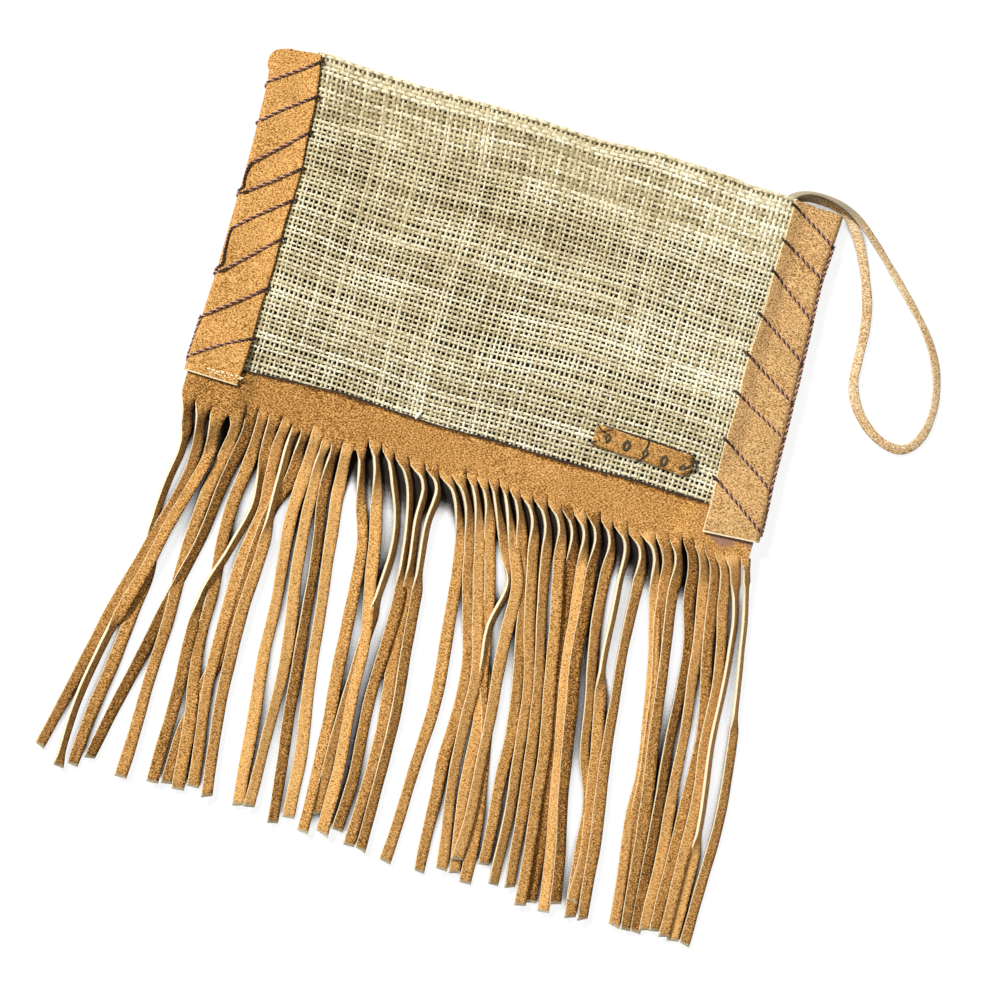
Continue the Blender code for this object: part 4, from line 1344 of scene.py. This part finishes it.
@dataclass
class Lacing:
    """One side's lacing: a two-ply waxed cord, slanting over the trim and running along the edge."""

    pouch: Pouch
    side: int
    radius: float = 0.62
    twist: float = 3.1
    ply_apart: float = 0.34
    ply_share: float = 0.56
    # Each ply's tone: painted light on one ply and painted shade on the other
    ply_painted_shades: tuple[float, float] = (0.3, -0.22)
    # How far from each hole the cord's painted shade reaches, in millimetres
    hole_shade_reach: float = 7.0
    trim_span: float = 27.2
    bend_from: float = 127.0
    bend_reach: float = 3.2

    def outer(self, y: float) -> float:
        """Returns the clutch's edge on this side at a height."""
        return read_line(LEFT_OUTER if self.side < 0 else RIGHT_OUTER, y)

    def surface(self, x: float, y: float) -> float:
        """Returns the height of the cord's middle on the front, at a real place.

        Args:
            x: place along the mouth.
            y: place up from the middle.

        Returns:
            The height above the floor.
        """
        inner = read_line(LEFT_INNER if self.side < 0 else RIGHT_INNER, y)
        part = (x - inner) / (self.outer(y) - inner)
        pouch = self.pouch
        own = pouch.trim_inner + self.trim_span * part
        rest = self.radius * 0.8
        if own < pouch.trim_inner - 0.4:
            return pouch.front_top(own, y) + rest - 0.3
        if own <= self.bend_from:
            return pouch.trim_under(own, y, True) + pouch.trim_thick + rest
        top = pouch.trim_under(self.bend_from, y, True) + pouch.trim_thick
        low = pouch.trim_under(self.bend_from, y, False) - pouch.trim_thick
        bend = math.sqrt(max(0.0, 1 - ((own - pouch.trim_fold) / self.bend_reach) ** 2))
        return (top + low) / 2 + (top - low) / 2 * bend + rest * bend

    def route(self, legs: Sequence[tuple[tuple[float, float], tuple[float, float]]]) -> np.ndarray:
        """Returns the whole cord's line.

        Args:
            legs: each leg's hole and far end.

        Returns:
            One row for each place.
        """
        marks: list[Point] = []
        for number, (hole, end) in enumerate(legs):
            # Up through the hole, and over the trim's face
            inside = self.side * -0.9
            hole_z = self.surface(hole[0], hole[1])
            marks.append((hole[0] + inside, hole[1] + 0.4, hole_z - 3.0))
            marks.append((hole[0] + inside * 0.6, hole[1] + 0.2, hole_z + 0.1))
            bow = 0.5 + 0.5 * math.sin(number * 2.1 + self.side)
            for part in (0.08, 0.3, 0.5, 0.7, 0.88, 0.97):
                x = hole[0] + (end[0] - hole[0]) * part
                hump = bow * math.sin(math.pi * part) * (1 if self.side < 0 else 0.4)
                y = hole[1] + (end[1] - hole[1]) * part + hump
                marks.append((x, y, self.surface(x, y)))
            if self.side < 0 and number in LEFT_SLACK:
                after = legs[number + 1][1]
                for part in (0.12, 0.35, 0.6, 0.85):
                    y = end[1] + (after[1] + 0.8 - end[1]) * part
                    x = end[0] + (after[0] - 0.2 - end[0]) * part - LEFT_SLACK[number] * math.sin(math.pi * part)
                    marks.append((x, y, self.surface(x, y)))
                end = (after[0], after[1] + 1.6)
            # Round the edge, and under the pouch to the next hole
            edge = self.outer(end[1] - 1)
            marks.append((edge + self.side * 0.15, end[1] - 1.0, 6.2))
            marks.append((edge + self.side * 0.1, end[1] - 1.8, 3.6))
            if number + 1 < len(legs):
                after = legs[number + 1][0]
                marks.append((edge - self.side * 3, end[1] - 3.0, 1.15))
                marks.append(((edge + after[0]) / 2, (end[1] - 3 + after[1]) / 2, 1.0))
                marks.append((after[0], after[1] + 0.3, 1.0))
                marks.append((after[0] + inside, after[1] + 0.4, 2.6))
        return smooth_route(marks, 0.3)

    def edge_runs(self, legs: Sequence[tuple[tuple[float, float], tuple[float, float]]]) -> list[np.ndarray]:
        """Returns the stretches that run along the clutch's edge between the legs' ends.

        Args:
            legs: each leg's hole and far end.

        Returns:
            One line for each stretch.
        """
        runs = []
        for number, bow in LEFT_RUNS if self.side < 0 else RIGHT_RUNS:
            start, end = legs[number][1], legs[number + 1][1]
            marks = []
            for part in np.linspace(0, 1, 9):
                y = start[1] + (end[1] - start[1]) * part
                hump = math.sin(math.pi * part)
                x = self.outer(y) + self.side * (bow * hump + 0.15)
                marks.append((x, y, 6.4 + 0.8 * (1 - hump)))
            runs.append(smooth_route(marks, 0.3))
        return runs

    def plies(self, wire: Wire, line: np.ndarray) -> None:
        """Adds two plies twisted round a line, one painted paler than the other as light and shade on the twist, and
        both darkened with painted shade near the holes and over the slack loops.

        Args:
            wire: the wire that they join.
            line: the cord's middle line.
        """
        along = np.concatenate([[0], np.cumsum(np.linalg.norm(np.diff(line, axis=0), axis=1))])
        tangent = np.gradient(line, axis=0)
        tangent /= np.linalg.norm(tangent, axis=1)[:, None] + 1e-9
        helper = np.where(np.abs(tangent[:, 2:3]) > 0.9, [[1.0, 0.0, 0.0]], [[0.0, 0.0, 1.0]])
        first = np.cross(tangent, helper)
        first /= np.linalg.norm(first, axis=1)[:, None] + 1e-9
        second = np.cross(tangent, first)
        holes = np.array([hole for hole, _ in (LEFT_LEGS if self.side < 0 else RIGHT_LEGS)])
        apart = np.linalg.norm(line[:, None, :2] - holes[None], axis=2).min(axis=1)
        # Painted shade: the cord darkens as it nears each hole, where it goes under, and along the left's slack loops
        # on the trim
        sunk = np.clip(1 - (apart - 1.0) / self.hole_shade_reach, 0, 1)
        if self.side < 0:
            loose = [np.array(LEFT_LEGS[k][1]) + (np.array(LEFT_LEGS[k + 1][1]) - LEFT_LEGS[k][1]) * part
                     for k in LEFT_SLACK for part in np.linspace(0.1, 0.9, 9)]
            beside = np.linalg.norm(line[:, None, :2] - np.array(loose)[None], axis=2).min(axis=1)
            sunk = np.maximum(sunk, np.clip(1.6 - beside / 2.0, 0, 1))
        for start, tone in zip((0.0, math.pi), self.ply_painted_shades):
            turn = 2 * math.pi * along / self.twist + start
            path = line + self.ply_apart * (first * np.cos(turn)[:, None] + second * np.sin(turn)[:, None])
            wire.add(path, self.radius * self.ply_share, tone - 0.6 * sunk)

    def build(self) -> bpy.types.Object:
        """Returns the lacing.

        Returns:
            The object.
        """
        legs = LEFT_LEGS if self.side < 0 else RIGHT_LEGS
        wire = Wire()
        self.plies(wire, self.route(legs))
        for run in self.edge_runs(legs):
            self.plies(wire, run)
        name = "left_waxed_lacing" if self.side < 0 else "right_waxed_lacing"
        obj = wire.swept(name, Finish.CORD, 5)
        return finished(obj, "waxed_cord", "left_lacing" if self.side < 0 else "right_lacing")


# Wrist loop's middle line with its roll, from the mouth out, round and back
STRAP_ROUTE = (
    (97.2, 61, 6.2, 0.1), (98.8, 69, 6.3, 0.3), (101.8, 74.3, 7.2, 0.9), (106.2, 77.1, 8.2, 1.2),
    (111.5, 78.2, 8.8, 1.25), (117.5, 78.0, 8.8, 1.15), (124, 76.7, 8.3, 0.95), (130, 74.3, 7.2, 0.8),
    (135.2, 71.1, 5.9, 0.7), (140, 67.5, 4.6, 0.62), (144.6, 63.8, 3.4, 0.58), (149.8, 59.3, 2.3, 0.56),
    (156.3, 53.4, 1.9, 0.58), (162, 48.0, 1.9, 0.6), (167.5, 42.6, 1.9, 0.6), (172.6, 37.2, 1.9, 0.56),
    (177.1, 31.5, 1.8, 0.5), (181, 25.2, 1.8, 0.5), (183.9, 18.6, 1.8, 0.5), (186, 11, 1.7, 0.45),
    (186.8, 3.4, 1.6, 0.4), (186.2, -4.2, 1.5, 0.3), (183.6, -11.2, 1.5, 0.3), (178.8, -15.4, 1.5, 0.32),
    (171.9, -15.4, 1.5, 0.3), (165, -12.6, 1.4, 0.25), (158, -7.1, 1.3, 0.2), (153.2, -0.6, 1.2, 0.12),
    (150.4, 7, 1.1, 0.1), (149.6, 16, 1.1, 0.1), (149.2, 24, 1.1, 0.1), (148.4, 31.2, 1.1, 0.12),
    (146.9, 38.6, 1.1, 0.1), (144.4, 46, 1.1, 0.08), (141.6, 52.8, 1.1, 0.1), (138.8, 58.6, 1.3, 0.15),
    (135.6, 64.2, 1.8, 0.25), (131.8, 69.6, 2.6, 0.4), (127.3, 74.0, 3.6, 0.6), (121.5, 76.2, 4.4, 0.8),
    (114.5, 76.7, 4.8, 0.85), (107.5, 76.4, 4.8, 0.8), (102, 73.8, 4.7, 0.6), (98.6, 68.5, 4.5, 0.3),
    (97.4, 61, 4.3, 0.1),
)


@dataclass
class WristLoop:
    """The wrist loop: one flat suede lace whose two ends go into the mouth."""

    width: float = 4.2
    thick: float = 1.6
    across: tuple[float, ...] = (-1.0, -0.8, -0.3, 0.3, 0.8, 1.0)

    def build(self) -> bpy.types.Object:
        """Returns the loop.

        Returns:
            The object.
        """
        line = smooth_route(STRAP_ROUTE, 1.1)
        points, flesh, tones, rims = [], [], [], []
        tangent = np.gradient(line[:, :3], axis=0)
        for row, (x, y, z, roll) in enumerate(line):
            along = Vector(tangent[row]).normalized()
            level = Vector((0, 0, 1)).cross(along).normalized()
            over = along.cross(level)
            across = level * math.cos(roll) - over * math.sin(roll)
            up = over * math.cos(roll) + level * math.sin(roll)
            share = row / len(line)
            greyed = soft_step((0.17 - share) / 0.05) + 0.8 * soft_step((share - 0.9) / 0.03)
            wide = self.width / 2 * (1 + 0.05 * math.sin(row / 5.3) + 0.03 * math.sin(row / 2.1))
            for t in self.across:
                sunk = 0.25 if abs(t) > 0.9 else 0.0
                spot = Vector((x, y, z)) + across * (wide * t) + up * (self.thick / 2 - 0.15 * t * t - sunk)
                points.append(tuple(spot))
                flesh.append(min(greyed, 1.0))
                rims.append(0.8 if abs(t) > 0.9 else 0.0)
                tones.append(0.05 * math.sin(row / 9))
        obj = add_object("suede_wrist_loop", points, [], grid_faces(len(line), len(self.across)),
                         {"flesh": flesh, "tone": tones, "rim": rims})
        grown(obj, sheet_tree, Thickness=self.thick * MM, Material=dressed(Finish.LACE))
        finished(obj, "suede", "wrist_strap")
        return obj


@dataclass
class Label:
    """The small suede label on the front, held by thread tacks, with plain stamped marks."""

    pouch: Pouch
    middle: tuple[float, float] = (71.8, -48.2)
    size: tuple[float, float] = (46.8, 9.4)
    thick: float = 0.8
    tilt: float = -0.032
    mark_half: tuple[float, float] = (1.1, 1.9)
    mark_radius: float = 0.78
    mark_drift: float = -0.095
    tack_radius: float = 0.34

    def top(self, x: float, y: float) -> float:
        """Returns the height of the label's face."""
        return self.pouch.front_top(x, y) + 0.1 + self.thick

    def build(self) -> list[bpy.types.Object]:
        """Returns the label, its marks and its tacks.

        Returns:
            Three objects.
        """
        columns, rows = 40, 8
        points = []
        for row in range(rows):
            v = 1 - 2 * row / (rows - 1)
            for column in range(columns):
                u = 2 * column / (columns - 1) - 1
                taper = 1 - 0.35 * soft_step((abs(u) - 0.94) / 0.06) * abs(v)
                x = self.middle[0] + u * taper * self.size[0] / 2
                waved = 1 + 0.04 * math.sin(x / 3.1)
                y = self.middle[1] + self.tilt * (x - self.middle[0]) + v * self.size[1] / 2 * waved
                points.append((x, y, self.top(x, y) + 0.12 * math.sin(x / 4)))
        patch = add_object("suede_label", points, [], grid_faces(rows, columns))
        grown(patch, sheet_tree, Thickness=self.thick * MM, Material=dressed(Finish.SUEDE))
        finished(patch, "suede", "label_patch")
        stamps = self.marks()
        tacks = self.tacks()
        return [patch, stamps, tacks]

    def marks(self) -> bpy.types.Object:
        """Returns a row of plain stamped diamonds and ovals, pressed in and darkened.

        Returns:
            The object.
        """
        wire = Wire()
        for number, x in enumerate(np.linspace(self.middle[0] - 16.0, self.middle[0] + 18.4, 5)):
            corners = 4 if number % 2 == 0 else 14
            low = self.middle[1] - 0.7 + self.mark_drift * (x - self.middle[0])
            ring = []
            for k in range(corners + 1):
                turn = 2 * math.pi * k / corners
                px, py = x + self.mark_half[0] * math.cos(turn), low + self.mark_half[1] * math.sin(turn)
                ring.append((px, py, self.top(px, py) + 0.02 + 0.12 * math.sin(px / 4)))
            wire.add(ring, self.mark_radius)
        obj = wire.swept("label_stamped_marks", Finish.STAMP, 5, 0.4)
        return finished(obj, "suede")

    def tacks(self) -> bpy.types.Object:
        """Returns the thread tacks at the label's ends and middle.

        Returns:
            The object.
        """
        left = self.middle[0] - self.size[0] / 2
        right = self.middle[0] + self.size[0] / 2
        routes = (
            ((left + 1.5, -42.6, -1.2), (left + 2.2, -43.8, 0.5), (left + 4.2, -45.2, 0.45), (left + 6, -45.6, 0.1)),
            ((left + 1.2, -51.6, -1.2), (left + 2.2, -50.4, 0.4), (left + 4.4, -49.4, 0.2)),
            ((72.4, -41.6, -1.2), (72.8, -42.6, 0.3), (73.0, -45, 0.3), (72.6, -46.4, -0.2)),
            ((72.4, -50.0, -0.1), (72.0, -51.6, 0.35), (70.6, -52.8, -1.0)),
            ((left + 4, -42.7, -0.6), (left + 12, -42.6, 0.0), (72, -42.5, 0.1), (right - 10, -42.6, 0.0),
             (right - 2.2, -43.0, -0.2)),
            ((right - 6, -50.9, -1.0), (right - 4.5, -49.8, 0.4), (right - 2.4, -47.4, 0.5),
             (right - 0.4, -45.2, 0.4), (right + 0.8, -44.2, -1.2)),
            ((right - 3.4, -43.0, -1.0), (right - 1.0, -44.6, 0.4), (right + 0.6, -47.6, 0.2),
             (right - 1.2, -50.4, -0.8)),
        )
        wire = Wire()
        for route in routes:
            laid = [(x, y + self.tilt * (x - left), lift) for x, y, lift in route]
            raised = [(x, y, self.top(x, y) + lift) for x, y, lift in laid]
            wire.add(smooth_route(raised, 0.4), self.tack_radius)
        obj = wire.swept("label_thread_tacks", Finish.THREAD, 6)
        return finished(obj, "dark_thread", "label_tack_left", "label_tack_middle", "label_tack_right")


@dataclass
class SmallStitches:
    """The scuffed pale stitches across the left trim's foot, the burlap's white fleck, and the band's dark thread,
    which also paints the shadow along the band's edge.
    """

    pouch: Pouch
    start: float = -101.8
    pitch: float = 2.25
    rows: tuple[tuple[float, int, float, float], ...] = ((-68.1, 8, 0.0, 0.42), (-69.2, 7, 0.8, 0.3))

    def build(self) -> bpy.types.Object:
        """Returns the pale stitches, whose rows give a height, a count, a shift and a radius, with the fleck.

        Returns:
            The object.
        """
        wire = Wire()
        rng = np.random.default_rng(5)
        for line, count, shift, radius in self.rows:
            for k in range(count):
                x = self.start - k * self.pitch - shift
                y = line - 0.07 * k + rng.normal(0, 0.12)
                ends = [(x, y), (x - 0.9, y + rng.normal(0, 0.15)), (x - 1.75, y)]
                route = []
                for (px, py), lift in zip(ends, (-0.15, 0.2, -0.15)):
                    face = self.pouch.trim_under(abs(px), py, True) + self.pouch.trim_thick
                    route.append((*strayed(px, py), face + lift))
                wire.add(smooth_route(route, 0.3), radius, float(rng.normal(0, 0.12)))
        top = self.pouch.front_top(-24.9, -61) + 0.6
        fleck = ((-25.9, -63.2, top), (-25.3, -61.6, top + 0.35), (-24.4, -60.0, top + 0.2),
                 (-24.0, -58.8, top - 0.1))
        wire.add(fleck, [0.5, 0.85, 0.6, 0.25], 0.3)
        obj = wire.swept("corner_stitches", Finish.PALE, 6, 0.6)
        return finished(obj, "pale_thread", "corner_stitch")

    def band_thread_and_shadow(self) -> bpy.types.Object:
        """Returns the dark thread along the band's upper edge, which dips between its stitches and also paints the
        shadow line where the band meets the burlap.

        Returns:
            The object.
        """
        wire = Wire()
        rng = np.random.default_rng(8)
        route = []
        for x in np.arange(-103.0, 103.1, 0.9):
            y = read_line(BAND_TOP, x) + 0.35 + 0.12 * math.sin(x / 5) + rng.normal(0, 0.05)
            dip = 0.22 * math.sin(2.1 * x)
            route.append((x, y, self.pouch.front_top(x, y) + 0.75 + dip + 0.15 * math.sin(x / 9)))
        wire.add(route, list(0.4 + rng.normal(0, 0.05, len(route))))
        return finished(wire.swept("band_edge_thread_and_shadow", Finish.THREAD, 6), "dark_thread")


@dataclass
class Zip:
    """The zip under the mouth's hem, which keeps its solids and takes better finishes."""

    metal: tuple[str, ...] = ("zip_teeth_front", "zip_teeth_back", "zip_slider", "zip_pull", "zip_stop_left",
                              "zip_stop_right")
    cloth: tuple[str, ...] = ("zip_tape_front", "zip_tape_back")

    def dress(self, nodes: dict[str, bpy.types.Object]) -> None:
        """Gives the zip's solids their materials.

        Args:
            nodes: the CAD solids by name.
        """
        for name in self.metal:
            self.paint(nodes[name], Finish.BRASS)
        for name in self.cloth:
            self.paint(nodes[name], Finish.TAPE)

    def paint(self, node: bpy.types.Object, finish: Finish) -> None:
        """Gives one solid its material."""
        for place in node.material_slots:
            place.material = dressed(finish)


@dataclass
class Studio:
    """The pale floor, the lamps and the camera straight above the clutch."""

    middle: tuple[float, float] = (19.1, -86.3)
    view_mm: float = 430.0
    lens: float = 84.0
    sensor: float = 36.0
    level: float = 0.005
    tilt: float = math.radians(16.8)
    floor_half: float = 3000.0
    floor_drop: float = 0.4
    shade_reach: float = 0.016

    def floor(self) -> None:
        """Adds the floor: white to the camera, with the object's shadow and a painted shadow in its colour, darkest
        between the fringe's strands.
        """
        half = self.floor_half
        spots = [(x, y, -self.floor_drop) for x, y in ((-half, half), (half, half), (-half, -half), (half, -half))]
        obj = add_object("studio_floor", spots, [], [(0, 2, 3, 1)])
        made, tree, shader = new_material("paper_sweep_matt")
        shader.inputs["Roughness"].default_value = 0.9
        path = add_node(tree, "ShaderNodeLightPath")
        seen = worked(tree, "MAXIMUM", path.outputs["Is Camera Ray"], path.outputs["Is Glossy Ray"])
        most = worked(tree, "MAXIMUM", seen, path.outputs["Is Transmission Ray"])
        near = add_node(tree, "ShaderNodeAmbientOcclusion", {"Distance": self.shade_reach}, samples=16)
        place = add_node(tree, "ShaderNodeSeparateXYZ", {0: add_node(tree, "ShaderNodeTexCoord").outputs["Object"]})
        # Painted shadow on a strip of the floor under the strands' roots, in metres: it fades at its foot, under the
        # band and at its ends
        foot = ranged(tree, place.outputs[1], -0.106, -0.09, 0.0, 0.42)
        head = ranged(tree, place.outputs[1], -0.076, -0.066, 1.0, 0.0)
        sides = ranged(tree, worked(tree, "ABSOLUTE", place.outputs[0]), 0.118, 0.126, 1.0, 0.0)
        painted_root_shadow = worked(tree, "MULTIPLY", worked(tree, "MULTIPLY", foot, head), sides)
        left = worked(tree, "SUBTRACT", near.outputs["AO"], painted_root_shadow)
        # Painted shadow: the floor's colour turns dark brown, and its white glow fades, where the occlusion is low or
        # the painted root strip lies
        base = ramp(tree, left, ((0.22, "#1C1009"), (0.31, "#4E3823"), (0.42, "#FAFAF8")))
        tree.links.new(base, shader.inputs["Base Color"])
        part = worked(tree, "MULTIPLY", most, ranged(tree, left, 0.31, 0.42, 0.0, 0.9))
        white = add_node(tree, "ShaderNodeEmission", {"Color": (1, 1, 1, 1), "Strength": 1.0})
        mixed = add_node(tree, "ShaderNodeMixShader", {0: part, 1: shader.outputs[0], 2: white.outputs[0]})
        tree.links.new(mixed.outputs[0], tree.nodes["Material Output"].inputs[0])
        obj.data.materials.append(made)

    def lamp(self, name: str, place: Point, size: float, watts: float) -> None:
        """Adds an area lamp that faces the clutch.

        Args:
            name: the lamp's name.
            place: its place in metres.
            size: its side in metres.
            watts: its power.
        """
        data = bpy.data.lights.new(name, "AREA")
        data.size = size
        data.energy = watts
        obj = bpy.data.objects.new(name, data)
        bpy.context.scene.collection.objects.link(obj)
        obj.location = place
        aim = Vector((self.middle[0] * MM, self.middle[1] * MM, 0)) - Vector(place)
        obj.rotation_euler = aim.to_track_quat("-Z", "Y").to_euler()

    def camera(self) -> None:
        """Adds the camera, turned as the photograph is."""
        data = bpy.data.cameras.new("camera")
        data.sensor_fit = "HORIZONTAL"
        data.sensor_width = self.sensor
        data.lens = self.lens
        obj = bpy.data.objects.new("camera", data)
        bpy.context.scene.collection.objects.link(obj)
        distance = self.view_mm * MM * self.lens / self.sensor
        place = Vector((self.middle[0] * MM, self.middle[1] * MM, distance + self.level))
        up = Vector((-math.sin(self.tilt), math.cos(self.tilt), 0))
        back = Vector((0, 0, 1))
        turn = Matrix((up.cross(back), up, back)).transposed()
        obj.matrix_world = Matrix.Translation(place) @ turn.to_4x4()
        bpy.context.scene.camera = obj

    def build(self) -> None:
        """Adds the floor, the lamps, the world and the camera."""
        self.floor()
        self.lamp("key", (-1.5, 1.0, 2.2), 0.4, 110.0)
        self.lamp("fill", (0.9, -0.5, 1.3), 1.2, 4.6)
        world = bpy.data.worlds.new("studio")
        bpy.context.scene.world = world
        world.use_nodes = True
        tree = world.node_tree
        sky = tree.nodes["Background"]
        sky.inputs["Color"].default_value = (1, 1, 1, 1)
        path = add_node(tree, "ShaderNodeLightPath")
        tree.links.new(ranged(tree, path.outputs["Is Camera Ray"], 0.0, 1.0, 0.15, 1.0), sky.inputs["Strength"])
        bpy.context.scene.view_settings.view_transform = "Standard"
        self.camera()


def corners(box: tuple[Vector, Vector]) -> list[list[float]]:
    """Returns a box's two corners as plain lists."""
    return [[float(v) for v in corner] for corner in box]


def main() -> None:
    """Builds every piece in order and reports each one."""
    logging.basicConfig(level=logging.INFO, format="%(message)s")
    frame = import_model()
    pouch = Pouch()
    Studio().build()
    made: list[bpy.types.Object] = [WristLoop().build(), Fringe(pouch).build(), Lining(pouch).build()]
    made += BurlapWalls(pouch).build()
    made += [SideTrim(pouch, -1).build(), SideTrim(pouch, 1).build()]
    made += [Lacing(pouch, -1).build(), Lacing(pouch, 1).build()]
    made += Label(pouch).build()
    stitches = SmallStitches(pouch)
    made += [stitches.build(), stitches.band_thread_and_shadow()]
    Zip().dress(frame["nodes"])
    for piece in made:
        triangles = sum(len(face.vertices) - 2 for face in piece.data.polygons)
        LOG.info("%s: %d triangles", piece.name, triangles)


if __name__ == "__main__":
    main()
